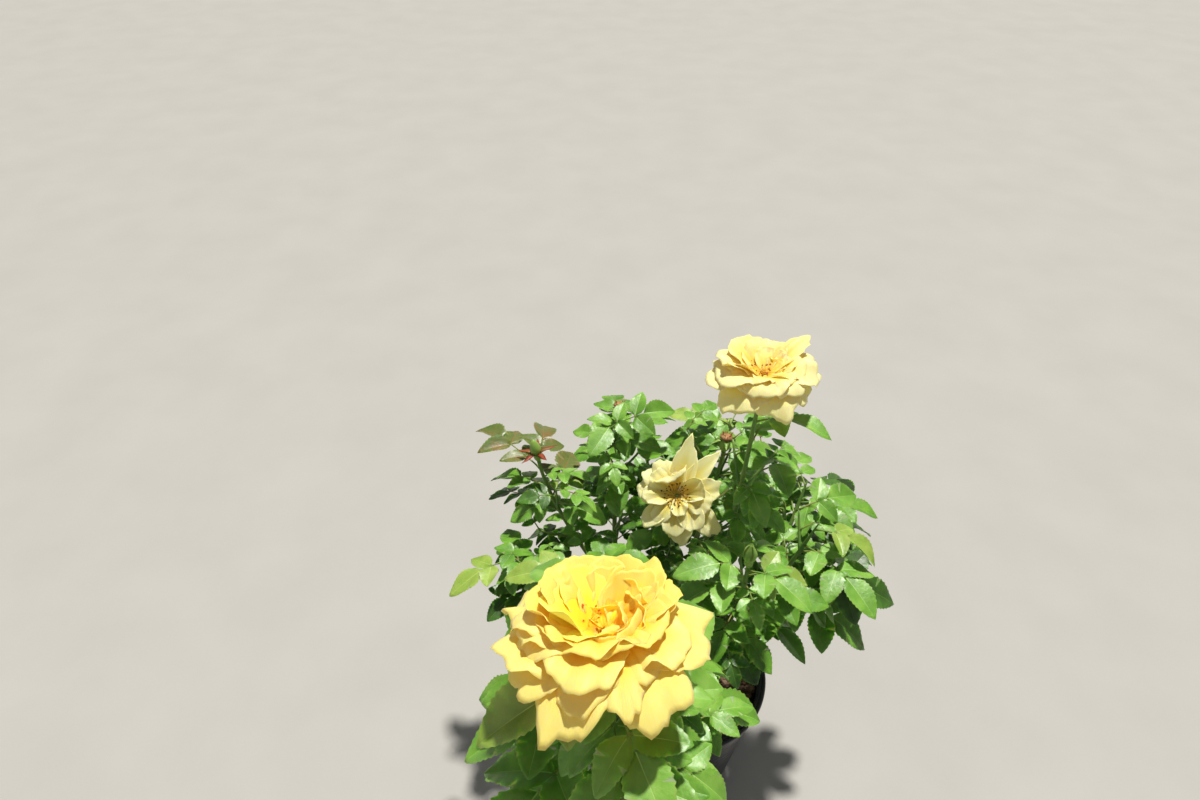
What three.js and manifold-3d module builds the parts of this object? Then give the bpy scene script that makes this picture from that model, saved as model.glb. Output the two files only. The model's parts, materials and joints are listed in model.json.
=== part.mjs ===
// A yellow bush rose growing in a round black nursery pot, in millimetres with +Z up.
// The origin is the centre of the pot's flat underside, and the viewer of the photograph stands at -Y.
// Several canes rise from one crown and fork into shoots. Each shoot carries one mass of leaves,
// and ends in an open bloom, a bud, a spent head or a young leafy tip.
import * as THREE from "three";
import { mergeVertices } from "three/addons/utils/BufferGeometryUtils.js";
import Module from "manifold-3d";

const wasm = await Module();
wasm.setup();

const UP = new THREE.Vector3(0, 0, 1);
const vec = (x, y, z) => new THREE.Vector3(x, y, z);
const mix = (a, b, t) => a + (b - a) * t;
const radians = THREE.MathUtils.degToRad;

// Driving dimensions.
const GAP = 0.3; // between two pieces that rest on each other
const POT = {
  height: 215,
  rimRadius: 112.5,
  beadWidth: 8,
  beadHeight: 9,
  collarRadius: 108,
  collarFoot: 186,
  wallTop: 104.5,
  baseRadius: 80,
  wall: 2.2,
  floor: 3,
  sides: 28,
  drains: 5,
  drainRadius: 6.5,
};
const SOIL_TOP = 183;
const CROWN = { height: 34, flare: 20, neck: 13, knob: 16.5, top: 9 };
const CANE = { foot: 6.2, tip: 3.4, sides: 6, steps: 6 };
const BOUGH = { foot: 3.9, tip: 3.0, sides: 5, steps: 4 };
const STEM = { foot: 2.9, tip: 1.9, sides: 4, steps: 7 };
const TWIG = { foot: 2.0, tip: 1.6, length: 68, lean: 48, leaves: 3 };
const PETIOLE = 1.1; // thickness of a leaf's stalk
const LEAF = {
  stalk: 24, // from the stem to the first pair of leaflets
  pairs: [28, 58],
  ends: [42, 72], // the end of the stalk of a leaf of three leaflets, and of five
  length: [38, 46, 54], // first pair, second pair, end leaflet
  width: 0.62, // of its length
  broadest: 0.42, // share of its length from the base
  thick: 1.0,
  fold: 0.2,
  arch: 0.16,
  sunk: 0.2,
};
const NODE_SPACE = 31; // between two leaves along a stem
const TURN = 2.39996; // the golden angle, from each leaf to the next round its stem
const CELL_GAP = 1.0; // a leaf stays this much nearer its own stem than any other
const LEAF_GAP = 8.5; // between the sample points of two leaves
const OPENINGS = [
  { centre: vec(120, -150, 400), reach: 80 },
  { centre: vec(70, -250, 440), reach: 50 },
  { centre: vec(40, -225, 400), reach: 42 },
  { centre: vec(22, -300, 555), reach: 42 },
  { centre: vec(0, -330, 630), reach: 34 },
  { centre: vec(-17, 20, 516), reach: 50 },
  { centre: vec(-22, -21, 559), reach: 52 },
]; // gaps in the crown: over the front right of the pot, and over the faded bloom
const SKIRT = { foot: 235, inner: 60, slope: 0.6 }; // the lowest leaves, rising outwards from this radius
const LIMB_GAP = 7; // between a leaf and a limb, its own stem too


// The shoots. end: the tip. on: the limb that it grows from, and at: how far up that limb. bare: the share
// of it below its leaves. spread and lean: how far it leans outwards at its foot and at its tip. turn: the
// way its top leaf points, in degrees from +X. leaf: how large its leaves are. tip: what it ends in.
const SHOOTS = [
  {
    name: "front", tip: "bloom", end: vec(-99, -296, 700),
    bare: 0.44, spread: 0.75, lean: 0.1, turn: 35, leaf: 1.12,
  },
  {
    name: "top", tip: "bloom", end: vec(58, 32, 652),
    bare: 0.42, spread: 0.3, lean: 0.05, turn: -160, leaf: 1,
  },
  {
    name: "faded", tip: "bloom", end: vec(-12, 62, 463),
    bare: 0.45, spread: 0.2, lean: -0.3, turn: 170, leaf: 1,
  },
  {
    name: "young", tip: "bud", end: vec(-176, 120, 474),
    bare: 0.42, spread: 0.7, lean: 0.2, turn: 20, leaf: 0.95,
  },
  {
    name: "right", tip: "leaf", end: vec(138, 6, 486),
    bare: 0.42, spread: 0.7, lean: 0.3, turn: -30, leaf: 1,
  },
  {
    name: "back", tip: "leaf", end: vec(66, 196, 470),
    bare: 0.42, spread: 0.6, lean: 0.3, turn: 60, leaf: 1,
  },
  {
    name: "left", tip: "leaf", end: vec(-128, -34, 462), on: "front", at: 0.3,
    bare: 0.3, spread: 0.9, lean: 0.3, turn: 200, leaf: 1,
  },
  {
    name: "mid", tip: "bud", end: vec(44, -80, 520), on: "top", at: 0.2,
    bare: 0.34, spread: 0.9, lean: 0, turn: -40, leaf: 1,
  },
  {
    name: "heart", tip: "spent", end: vec(44, 104, 505), on: "faded", at: 0.3,
    bare: 0.34, spread: 0.6, lean: 0.2, turn: 90, leaf: 1,
  },
  {
    name: "rear", tip: "spent", end: vec(-76, 168, 500), on: "young", at: 0.26,
    bare: 0.34, spread: 0.7, lean: 0.2, turn: 100, leaf: 1,
  },
  {
    name: "wing", tip: "leaf", end: vec(158, 126, 430), on: "right", at: 0.3,
    bare: 0.34, spread: 0.9, lean: 0.5, turn: 20, leaf: 1,
  },
  {
    name: "side", tip: "leaf", end: vec(-214, 34, 400), on: "young", at: 0.22,
    bare: 0.34, spread: 1.1, lean: 0.6, turn: 190, leaf: 1,
  },
  {
    name: "tail", tip: "bud", end: vec(-40, 252, 380), on: "back", at: 0.24,
    bare: 0.38, spread: 1.2, lean: 0.7, turn: 100, leaf: 1,
  },
];

// The rings of petals of a bloom, from the outside in. Each petal lies on a bowl round the bloom's axis:
// its middle line runs from the heart, at the height foot, past the point bend to the point tip, both
// as [radius, height].
// width: across the petal. lift: how far its edges slip over and under the next petals.
const FULL_ROWS = [
  { count: 5, foot: 0, bend: [36, 20], tip: [66, -8], width: 62, lift: 2.6 },
  { count: 5, foot: 3, bend: [34, 29], tip: [58, 12], width: 56, lift: 2.4 },
  { count: 5, foot: 6, bend: [26, 28], tip: [44, 30], width: 46, lift: 2.0 },
  { count: 4, foot: 9, bend: [14, 24], tip: [27, 37], width: 36, lift: 1.8 },
];
const FADED_ROWS = [
  { count: 5, foot: 0, bend: [30, 12], tip: [54, 16], width: 36, lift: 2.0 },
  { count: 5, foot: 3, bend: [24, 18], tip: [42, 26], width: 34, lift: 1.8 },
  { count: 3, foot: 6, bend: [12, 20], tip: [24, 32], width: 24, lift: 1.4 },
];
const BLOOMS = [
  { shoot: "front", axis: vec(0.04, 0.3, 0.95), scale: 1, rows: FULL_ROWS },
  { shoot: "top", axis: vec(0.02, 0.1, 0.99), scale: 0.88, rows: FULL_ROWS },
  { shoot: "faded", axis: vec(-0.1, -0.6, 0.8), scale: 1, rows: FADED_ROWS },
];
const HEART = 7; // radius of the solid middle that the petals stand on
const PETAL_THICK = 1.1;

const LOOKS = {
  pot: { color: "#23272c", roughness: 0.45 },
  soil: { color: "#5a4a40", roughness: 1 },
  wood: { color: "#6f6a3c", roughness: 0.8 },
  leaf: { color: "#4c7f33", roughness: 0.45 },
  young: { color: "#7f8136", roughness: 0.4 },
  petal: { color: "#fbd552", roughness: 0.6 },
  faded: { color: "#efdd87", roughness: 0.7 },
};

// Solids.

// A closed three.js geometry as a solid that can be joined and cut.
function solidOf(geometry) {
  const bare = geometry.clone();
  bare.deleteAttribute("normal");
  bare.deleteAttribute("uv");
  const merged = mergeVertices(bare, 1e-4);
  return new wasm.Manifold(
    new wasm.Mesh({
      numProp: 3,
      vertProperties: new Float32Array(merged.getAttribute("position").array),
      triVerts: new Uint32Array(merged.index.array),
    }),
  );
}

// A solid as a named mesh with a material of its own.
function meshOf(solid, name, look) {
  const made = solid.getMesh();
  const geometry = new THREE.BufferGeometry();
  geometry.setAttribute("position", new THREE.BufferAttribute(made.vertProperties, 3));
  geometry.setIndex(new THREE.BufferAttribute(made.triVerts, 1));
  const flat = geometry.toNonIndexed();
  flat.computeVertexNormals();
  const mesh = new THREE.Mesh(flat, new THREE.MeshStandardMaterial({ ...look, metalness: 0 }));
  mesh.name = name;
  return mesh;
}

// The largest of a solid's separate pieces, with any loose scrap dropped.
function largest(solid) {
  return solid.decompose().reduce((a, b) => (a.volume() > b.volume() ? a : b));
}

// A profile of [radius, height] points turned about Z.
function turned(profile, sides) {
  const geometry = new THREE.LatheGeometry(
    profile.map(([r, z]) => new THREE.Vector2(r, z)),
    sides,
  );
  return geometry.rotateX(Math.PI / 2);
}

// A tapering limb with flat ends: a cylinder bent along part of a curve.
function limb(curve, from, to, foot, tip, sides, steps) {
  const geometry = new THREE.CylinderGeometry(tip, foot, 1, sides, steps);
  const position = geometry.getAttribute("position");
  const reference = Math.abs(curve.getTangent(from).y) < 0.7 ? vec(0, 1, 0) : vec(1, 0, 0);
  for (let i = 0; i < position.count; i++) {
    const t = mix(from, to, position.getY(i) + 0.5);
    const along = curve.getTangent(t);
    const across = along.clone().cross(reference).normalize();
    const third = across.clone().cross(along);
    const place = curve
      .getPoint(t)
      .addScaledVector(across, position.getX(i))
      .addScaledVector(third, position.getZ(i));
    position.setXYZ(i, place.x, place.y, place.z);
  }
  return solidOf(geometry);
}

// The same fixed row of draws each time, from one seed.
function draws(seed) {
  return () => {
    seed = (seed + 0x6d2b79f5) | 0;
    let t = Math.imul(seed ^ (seed >>> 15), 1 | seed);
    t = (t + Math.imul(t ^ (t >>> 7), 61 | t)) ^ t;
    return ((t ^ (t >>> 14)) >>> 0) / 4294967296;
  };
}

// The pot, the soil and the crown.

function potSolid() {
  const p = POT;
  const slope = (p.wallTop - p.baseRadius) / p.collarFoot;
  const inside = (z) => p.baseRadius + slope * z - p.wall;
  const beadMid = p.height - p.beadHeight / 2;
  const beadInner = p.rimRadius - p.beadWidth;
  const profile = [
    [0, 0],
    [p.baseRadius, 0],
    [p.wallTop, p.collarFoot],
    [p.collarRadius, p.collarFoot + 3],
    [p.collarRadius, p.height - p.beadHeight],
    [p.rimRadius, beadMid],
    [p.rimRadius - 2, p.height - 0.8],
    [p.rimRadius - p.beadWidth / 2, p.height],
    [beadInner, beadMid],
    [inside(p.collarFoot), p.collarFoot - 1],
    [inside(p.floor), p.floor],
    [0, p.floor],
  ];
  let pot = solidOf(turned(profile, p.sides));
  for (let i = 0; i < p.drains; i++) {
    const drain = new THREE.CylinderGeometry(p.drainRadius, p.drainRadius, 20, 8);
    drain.rotateZ(Math.PI / 2);
    drain.translate(p.baseRadius, 0, p.floor + p.drainRadius);
    drain.rotateZ((2 * Math.PI * (i + 0.5)) / p.drains);
    pot = pot.subtract(solidOf(drain));
  }
  return pot;
}

function soilSolid() {
  const p = POT;
  const slope = (p.wallTop - p.baseRadius) / p.collarFoot;
  const radius = (z) => p.baseRadius + slope * z - p.wall - GAP;
  const foot = p.floor + GAP;
  const profile = [
    [0, foot],
    [radius(foot), foot],
    [radius(SOIL_TOP), SOIL_TOP],
    [0, SOIL_TOP],
  ];
  return solidOf(turned(profile, p.sides));
}

// The knob where the canes meet, with its root flare cut flat at the soil. grown: how much fatter.
function crownSolid(grown) {
  const c = CROWN;
  const profile = [
    [0, 0],
    [c.flare + grown, 0],
    [c.neck + grown, c.height * 0.3],
    [c.knob + grown, c.height * 0.65],
    [c.top + grown, c.height + grown],
    [0, c.height + grown],
  ];
  return solidOf(turned(profile, 12)).translate(0, 0, SOIL_TOP + GAP);
}

// The shoots' curves.

const byName = new Map();
function shootCurve(shoot) {
  const parent = shoot.on ? byName.get(shoot.on) : null;
  const heading = vec(shoot.end.x, shoot.end.y, 0);
  const start = vec(0, 0, SOIL_TOP + CROWN.height * 0.5);
  let leaving = UP.clone();
  if (parent) {
    start.copy(parent.curve.getPoint(shoot.at));
    heading.sub(vec(start.x, start.y, 0));
    leaving = parent.curve.getTangent(shoot.at);
  }
  heading.normalize();
  if (!parent) start.addScaledVector(heading, CROWN.knob * 0.45);
  leaving.addScaledVector(heading, shoot.spread).normalize();
  const arriving = UP.clone().addScaledVector(heading, shoot.lean).normalize();
  const reach = start.distanceTo(shoot.end);
  return new THREE.CubicBezierCurve3(
    start,
    start.clone().addScaledVector(leaving, 0.36 * reach),
    shoot.end.clone().addScaledVector(arriving, -0.34 * reach),
    shoot.end,
  );
}

for (const shoot of SHOOTS) {
  shoot.curve = shootCurve(shoot);
  shoot.length = shoot.curve.getLength();
  byName.set(shoot.name, shoot);
}

// Where a leaf may not go: nearer another stem than its own, on a limb, in a bloom, under the skirt.

const CHORDS = 8; // straight lines that stand for each stem when distances are measured
const lineTo = new THREE.Line3();
const nearest = new THREE.Vector3();
function chordsOf(curve, from, to) {
  const points = Array.from({ length: CHORDS + 1 }, (_, i) => curve.getPoint(mix(from, to, i / CHORDS)));
  return points.slice(1).map((end, i) => [points[i], end]);
}
function distanceTo(chords, place) {
  let least = Infinity;
  for (const [start, end] of chords) {
    lineTo.set(start, end).closestPointToPoint(place, true, nearest);
    least = Math.min(least, nearest.distanceTo(place));
  }
  return least;
}
const stemLines = SHOOTS.map((shoot) => chordsOf(shoot.curve, shoot.bare, 1));
const limbLines = SHOOTS.map((shoot) => chordsOf(shoot.curve, 0, shoot.bare));
const bloomSpaces = BLOOMS.map((bloom) => {
  const axis = bloom.axis.clone().normalize();
  const reach = bloom.rows === FULL_ROWS ? 70 * bloom.scale : 54;
  return {
    centre: byName.get(bloom.shoot).end.clone().addScaledVector(axis, 16),
    axis,
    reach,
    half: 0.62 * reach,
  };
});
const placed = []; // sample points of the leaves and twigs so far
const crowded = (place) => placed.some((other) => other.distanceTo(place) < LEAF_GAP);

function allowed(place, owner) {
  const out = Math.hypot(place.x, place.y);
  if (place.z < SKIRT.foot + SKIRT.slope * Math.max(0, out - SKIRT.inner)) return false;
  if (OPENINGS.some((opening) => opening.centre.distanceTo(place) < opening.reach)) return false;
  const own = distanceTo(stemLines[owner], place);
  if (own < LIMB_GAP) return false;
  for (let i = 0; i < SHOOTS.length; i++) {
    if (i !== owner && distanceTo(stemLines[i], place) < own + CELL_GAP) return false;
    if (distanceTo(limbLines[i], place) < LIMB_GAP) return false;
  }
  return !bloomSpaces.some((space) => {
    const from = place.clone().sub(space.centre);
    const rise = from.dot(space.axis);
    const off = from.addScaledVector(space.axis, -rise).length();
    return (off / space.reach) ** 2 + (rise / space.half) ** 2 < 1;
  });
}

// Leaves.

// Half the width of a leaflet or petal at a share of its length, as a share of the full width.
const outline = (a) => 0.5 * Math.sin(Math.PI * Math.max(a, 0) ** 0.8) ** 0.75;

// One point of a leaflet: a along it from 0 to 1, b across it from -1 to 1.
function leafletPoint(leaflet, a, b) {
  const across = b * outline(a) * LEAF.width * leaflet.length;
  const rise = LEAF.fold * Math.abs(across) - LEAF.arch * leaflet.length * a * a;
  return leaflet.base
    .clone()
    .addScaledVector(leaflet.along, a * leaflet.length)
    .addScaledVector(leaflet.side, across)
    .addScaledVector(leaflet.normal, rise);
}

const LEAFLET_SAMPLES = [
  [0.3, 0],
  [0.3, 1],
  [0.3, -1],
  [0.66, 0],
  [0.66, 1],
  [0.66, -1],
  [1, 0],
];

// A leaflet with its own directions: along it, up out of its face, and across it.
function leaflet(base, along, normal, length) {
  const ahead = along.clone().normalize();
  const face = normal.clone().addScaledVector(ahead, -normal.dot(ahead)).normalize();
  return { base, along: ahead, normal: face, side: ahead.clone().cross(face), length };
}

// A leaf that grows from place, between the stem's direction and outwards: pairs of leaflets and one at its end.
function compoundLeaf(place, stemWay, outwards, size, pairs, draw) {
  const lift = radians(46 + 16 * draw());
  const first = stemWay
    .clone()
    .multiplyScalar(Math.cos(lift))
    .addScaledVector(outwards, Math.sin(lift))
    .normalize();
  const level = vec(first.x, first.y, 0).normalize();
  const second = first.clone().multiplyScalar(0.45).addScaledVector(level, 0.6);
  second.z -= 0.05 + 0.3 * draw();
  second.normalize();
  const roll = radians(50 * (draw() - 0.5));
  const normal = UP.clone().addScaledVector(second, -second.z).normalize();
  normal.applyAxisAngle(second, roll);
  const side = second.clone().cross(normal);
  const joint = place.clone().addScaledVector(first, LEAF.stalk * size);
  const at = (reach) => joint.clone().addScaledVector(second, (reach - LEAF.stalk) * size);
  const leaflets = [];
  LEAF.pairs.forEach((reach, row) => {
    if (row >= pairs) return;
    for (const hand of [-1, 1]) {
      const way = second
        .clone()
        .multiplyScalar(0.45 + 0.2 * draw())
        .addScaledVector(side, hand);
      const face = normal.clone().addScaledVector(side, 0.35 * (draw() - 0.35) * hand);
      const root = at(reach).addScaledVector(side, hand * LEAF.sunk);
      leaflets.push(leaflet(root, way, face, LEAF.length[row] * size));
    }
  });
  const way = second.clone().addScaledVector(normal, -0.15 - 0.2 * draw());
  const end = LEAF.ends[pairs - 1];
  leaflets.push(leaflet(at(end - LEAF.sunk), way, normal, LEAF.length[2] * size));
  return { stalk: [place, joint, at(end)], side, leaflets };
}

const samplesOf = (leaf) =>
  leaf.leaflets.flatMap((one) => LEAFLET_SAMPLES.map(([a, b]) => leafletPoint(one, a, b)));

// Tries a leaf at a few turns round its stem and at two sizes, and keeps the first that fits.
function placeLeaf(place, stemWay, turn, size, pairs, owner, draw) {
  const seed = Math.floor(draw() * 1e9);
  for (const shrink of [1, 0.82, 0.66]) {
    for (const shift of [0, 0.5, -0.5, 1, -1, 1.6, -1.6]) {
      const reference = vec(1, 0, 0).addScaledVector(stemWay, -stemWay.x).normalize();
      const outwards = reference.applyAxisAngle(stemWay, turn + shift);
      const leaf = compoundLeaf(place, stemWay, outwards, size * shrink, pairs, draws(seed));
      const samples = samplesOf(leaf);
      if (samples.some((sample) => crowded(sample))) continue;
      if (!samples.every((sample) => allowed(sample, owner))) continue;
      placed.push(...samples, leaf.stalk[1], leaf.stalk[2]);
      return leaf;
    }
  }
  return null;
}

// A mass: its stem from where the leaves begin to its tip, side twigs, and all their leaves.
function growMass(shoot, owner) {
  const draw = draws(owner * 7919 + 11);
  const curve = shoot.curve;
  const leaves = [];
  const twigs = [];
  const run = shoot.length * (1 - shoot.bare);
  const count = Math.floor(run / NODE_SPACE);
  for (let i = count; i >= 1; i--) {
    const t = mix(shoot.bare, 1, (i - 0.35) / count);
    const place = curve.getPoint(t);
    const way = curve.getTangent(t);
    const turn = radians(shoot.turn) + (count - i) * TURN;
    const size = shoot.leaf * mix(1.05, 0.85, (i / count) ** 3) * (0.9 + 0.2 * draw());
    if (i % 3 === 1 && i < count) {
      const twig = growTwig(place, way, turn, owner, draw);
      if (twig) {
        twigs.push(twig.curve);
        leaves.push(...twig.leaves);
        continue;
      }
    }
    const pairs = i > count - 2 ? 1 : 2;
    const leaf = placeLeaf(place, way, turn, size, pairs, owner, draw);
    if (leaf) leaves.push(leaf);
  }
  return { leaves, twigs };
}

// A short side twig that leans out of its stem, with its own leaves, or null where it has no room.
function growTwig(place, stemWay, turn, owner, draw) {
  const lean = radians(TWIG.lean);
  const reach = TWIG.length * (0.8 + 0.4 * draw());
  for (const shift of [0, 1.2, -1.2, 2.4]) {
    const reference = vec(1, 0, 0).addScaledVector(stemWay, -stemWay.x).normalize();
    const outwards = reference.applyAxisAngle(stemWay, turn + shift);
    const way = stemWay
      .clone()
      .multiplyScalar(Math.cos(lean))
      .addScaledVector(outwards, Math.sin(lean));
    const middle = place.clone().addScaledVector(way, reach * 0.5);
    way.addScaledVector(UP, 0.35).normalize();
    const end = middle.clone().addScaledVector(way, reach * 0.5);
    const curve = new THREE.QuadraticBezierCurve3(place, middle, end);
    const samples = [0.4, 0.6, 0.8, 1].map((t) => curve.getPoint(t));
    if (samples.some((sample) => crowded(sample))) continue;
    if (!samples.every((sample) => allowed(sample, owner))) continue;
    placed.push(...samples);
    const leaves = [];
    for (let i = TWIG.leaves; i >= 1; i--) {
      const t = i / TWIG.leaves;
      const size = mix(0.95, 0.75, t);
      const leaf = placeLeaf(
        curve.getPoint(t * 0.92),
        curve.getTangent(t * 0.92),
        turn + i * TURN,
        size,
        i === TWIG.leaves ? 2 : 1,
        owner,
        draw,
      );
      if (leaf) leaves.push(leaf);
    }
    return { curve, leaves };
  }
  return null;
}

// A leaflet as a solid of eight faces: base, tip and both sides, with a middle point above and below.
function leafletSolid(one) {
  const geometry = new THREE.OctahedronGeometry(1);
  const position = geometry.getAttribute("position");
  for (let i = 0; i < position.count; i++) {
    const end = Math.round(position.getX(i));
    const across = Math.round(position.getZ(i));
    const up = Math.round(position.getY(i));
    const place = leafletPoint(one, end ? (end + 1) / 2 : LEAF.broadest, across);
    place.addScaledVector(one.normal, (up * LEAF.thick) / 2);
    position.setXYZ(i, place.x, place.y, place.z);
  }
  return solidOf(geometry);
}

// A leaf's stalk: a slim box bent once, just below the first pair of leaflets.
function stalkSolid({ stalk, side }) {
  const geometry = new THREE.BoxGeometry(1, 2, 1, 1, 2, 1);
  const position = geometry.getAttribute("position");
  for (let i = 0; i < position.count; i++) {
    const ring = Math.round(position.getY(i) + 1);
    const before = stalk[Math.max(ring - 1, 0)];
    const along = stalk[Math.min(ring + 1, 2)].clone().sub(before).normalize();
    const face = side.clone().cross(along).normalize();
    const across = along.clone().cross(face);
    const place = stalk[ring]
      .clone()
      .addScaledVector(across, position.getX(i) * PETIOLE)
      .addScaledVector(face, position.getZ(i) * PETIOLE);
    position.setXYZ(i, place.x, place.y, place.z);
  }
  return solidOf(geometry);
}

// What stands on the tip of a shoot: the hip under a bloom, a green bud, or a spent head.
const TIPS = {
  bloom: [
    [0, -4],
    [3.2, -3],
    [5.4, 3],
    [4.4, 8],
    [0, 8],
  ],
  bud: [
    [0, -4],
    [4.2, -1],
    [5.6, 4],
    [7.2, 11],
    [5.8, 19],
    [0, 27],
  ],
  spent: [
    [0, -4],
    [4.8, -1],
    [6.6, 5],
    [5.2, 11],
    [9.5, 17],
    [0, 15],
  ],
};

function tipSolid(shoot) {
  const profile = TIPS[shoot.tip];
  const away = new THREE.Matrix4().makeRotationFromQuaternion(
    new THREE.Quaternion().setFromUnitVectors(UP, shoot.curve.getTangent(1)),
  );
  const geometry = turned(profile, 7).applyMatrix4(away);
  return solidOf(geometry.translate(shoot.end.x, shoot.end.y, shoot.end.z));
}

function massSolid(shoot, mass) {
  const gap = GAP / shoot.length;
  const pieces = [
    limb(shoot.curve, shoot.bare + gap, 1, STEM.foot, STEM.tip, STEM.sides, STEM.steps),
    ...mass.twigs.map((curve) => limb(curve, 0, 1, TWIG.foot, TWIG.tip, 4, 2)),
    ...mass.leaves.map(stalkSolid),
    ...mass.leaves.flatMap((leaf) => leaf.leaflets.map(leafletSolid)),
  ];
  if (TIPS[shoot.tip]) pieces.push(tipSolid(shoot));
  return largest(wasm.Manifold.union(pieces));
}

// Blooms.

// Half a petal's width: narrow at the foot, broadest past the middle, blunt at the tip.
const petalHalf = (a) => 0.5 * Math.sin(Math.PI * (0.03 + 0.8 * a)) ** 0.8;

// One point of a petal in its bloom's own frame, with Z along the axis: a along the petal from 0 to 1,
// b across it from -1 to 1, out: how far off its face.
function petalPoint(row, turn, a, b, out) {
  const [bendRadius, bendHeight] = row.bend;
  const [tipRadius, tipHeight] = row.tip;
  const radius = 2 * a * (1 - a) * bendRadius + a * a * tipRadius;
  const height = row.foot * (1 - a) + 2 * a * (1 - a) * bendHeight + a * a * tipHeight;
  const away = mix(bendRadius, tipRadius - bendRadius, a);
  const rise = mix(bendHeight, tipHeight - bendHeight, a);
  const slope = Math.hypot(away, rise);
  const off = out + row.lift * b * Math.sqrt(a);
  const outward = radius + HEART * 0.4 - (off * rise) / slope;
  const upward = height + (off * away) / slope;
  const round = turn + (b * row.width * petalHalf(a)) / (radius + HEART);
  return vec(outward * Math.cos(round), outward * Math.sin(round), upward);
}

// A petal as a thin closed solid, from a box with a grid of faces.
function petalSolid(row, turn) {
  const geometry = new THREE.BoxGeometry(2, 1, PETAL_THICK, 2, 2, 1);
  const position = geometry.getAttribute("position");
  for (let i = 0; i < position.count; i++) {
    const a = (position.getY(i) + 0.5) ** 0.8;
    const place = petalPoint(row, turn, a, -position.getX(i), position.getZ(i));
    position.setXYZ(i, place.x, place.y, place.z);
  }
  return solidOf(geometry);
}

function bloomSolid(bloom) {
  const shoot = byName.get(bloom.shoot);
  const heart = new THREE.SphereGeometry(HEART, 8, 5).scale(1, 1, 1.6).translate(0, 0, 4);
  const pieces = [solidOf(heart)];
  bloom.rows.forEach((row, ring) => {
    for (let i = 0; i < row.count; i++) {
      pieces.push(petalSolid(row, ((i + 0.5 * ring) * 2 * Math.PI) / row.count));
    }
  });
  const axis = bloom.axis.clone().normalize();
  const turn = new THREE.Quaternion().setFromUnitVectors(UP, axis);
  const stand = new THREE.Matrix4().compose(
    shoot.end.clone().addScaledVector(shoot.curve.getTangent(1), 8),
    turn,
    vec(bloom.scale, bloom.scale, bloom.scale),
  );
  return wasm.Manifold.union(pieces).transform(stand.elements);
}

// The whole plant in its pot.

const rose = new THREE.Group();
rose.name = "potted_rose_bush";
rose.add(meshOf(potSolid(), "pot", LOOKS.pot));
rose.add(meshOf(soilSolid(), "soil", LOOKS.soil));
rose.add(meshOf(crownSolid(0), "crown", LOOKS.wood));

// Each limb is cut clear of the crown and of the limbs before it, its parent among them.
const around = [crownSolid(GAP)];
for (const shoot of SHOOTS) {
  const size = shoot.on ? BOUGH : CANE;
  const grown = (more) =>
    limb(shoot.curve, 0, shoot.bare, size.foot + more, size.tip + more, size.sides, size.steps);
  const bare = around.reduce((left, solid) => left.subtract(solid), grown(0));
  around.push(grown(GAP));
  rose.add(meshOf(largest(bare), (shoot.on ? "bough_" : "cane_") + shoot.name, LOOKS.wood));
}

const bloomSolids = BLOOMS.map((bloom) => bloomSolid(bloom));
BLOOMS.forEach((bloom, i) => {
  const look = bloom.rows === FULL_ROWS ? LOOKS.petal : LOOKS.faded;
  rose.add(meshOf(bloomSolids[i], "bloom_" + bloom.shoot, look));
});

SHOOTS.forEach((shoot, owner) => {
  const mass = growMass(shoot, owner);
  let solid = massSolid(shoot, mass);
  for (const bloom of bloomSolids) solid = solid.subtract(bloom);
  const look = shoot.name === "young" ? LOOKS.young : LOOKS.leaf;
  rose.add(meshOf(largest(solid), "leaves_" + shoot.name, look));
});

export default rose;
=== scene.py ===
# %% [markdown]
# # A potted yellow bush rose
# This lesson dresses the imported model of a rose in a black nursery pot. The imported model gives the
# places and sizes. Here every node gets a finer piece in its place: bark on the canes, compound
# leaves with toothed leaflets, ruffled petals, and bark chips on the soil. The plant grows by the
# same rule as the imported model, so each fine piece keeps close to its plain solid.

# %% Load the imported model
import json
import math

import bmesh
import bpy
import numpy as np
from mathutils import Matrix, Vector, noise

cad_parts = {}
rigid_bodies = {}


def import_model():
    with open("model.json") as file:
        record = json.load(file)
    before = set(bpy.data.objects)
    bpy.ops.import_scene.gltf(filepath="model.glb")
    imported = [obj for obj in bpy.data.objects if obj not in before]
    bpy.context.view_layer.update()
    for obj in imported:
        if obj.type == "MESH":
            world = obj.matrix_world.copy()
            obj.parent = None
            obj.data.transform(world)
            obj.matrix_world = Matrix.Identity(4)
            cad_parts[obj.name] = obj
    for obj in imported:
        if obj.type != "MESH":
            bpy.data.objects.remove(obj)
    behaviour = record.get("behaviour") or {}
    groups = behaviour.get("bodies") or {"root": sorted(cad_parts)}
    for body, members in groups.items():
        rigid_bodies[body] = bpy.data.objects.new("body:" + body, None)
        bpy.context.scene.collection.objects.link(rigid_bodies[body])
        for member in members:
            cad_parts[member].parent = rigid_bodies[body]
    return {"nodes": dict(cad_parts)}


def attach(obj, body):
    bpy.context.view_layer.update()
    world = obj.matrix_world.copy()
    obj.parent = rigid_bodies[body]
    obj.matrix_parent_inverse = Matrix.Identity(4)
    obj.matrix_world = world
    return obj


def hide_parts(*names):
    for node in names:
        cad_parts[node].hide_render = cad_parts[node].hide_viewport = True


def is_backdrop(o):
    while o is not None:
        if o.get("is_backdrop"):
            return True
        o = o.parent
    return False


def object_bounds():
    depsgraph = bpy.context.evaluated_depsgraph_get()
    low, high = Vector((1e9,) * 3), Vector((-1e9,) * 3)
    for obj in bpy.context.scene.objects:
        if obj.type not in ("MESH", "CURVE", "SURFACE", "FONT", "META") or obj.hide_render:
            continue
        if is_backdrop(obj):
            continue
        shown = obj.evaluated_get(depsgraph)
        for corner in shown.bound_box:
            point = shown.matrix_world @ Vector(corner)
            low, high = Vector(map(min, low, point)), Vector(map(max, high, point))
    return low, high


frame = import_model()
bpy.context.view_layer.update()
cad_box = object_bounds()
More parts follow.
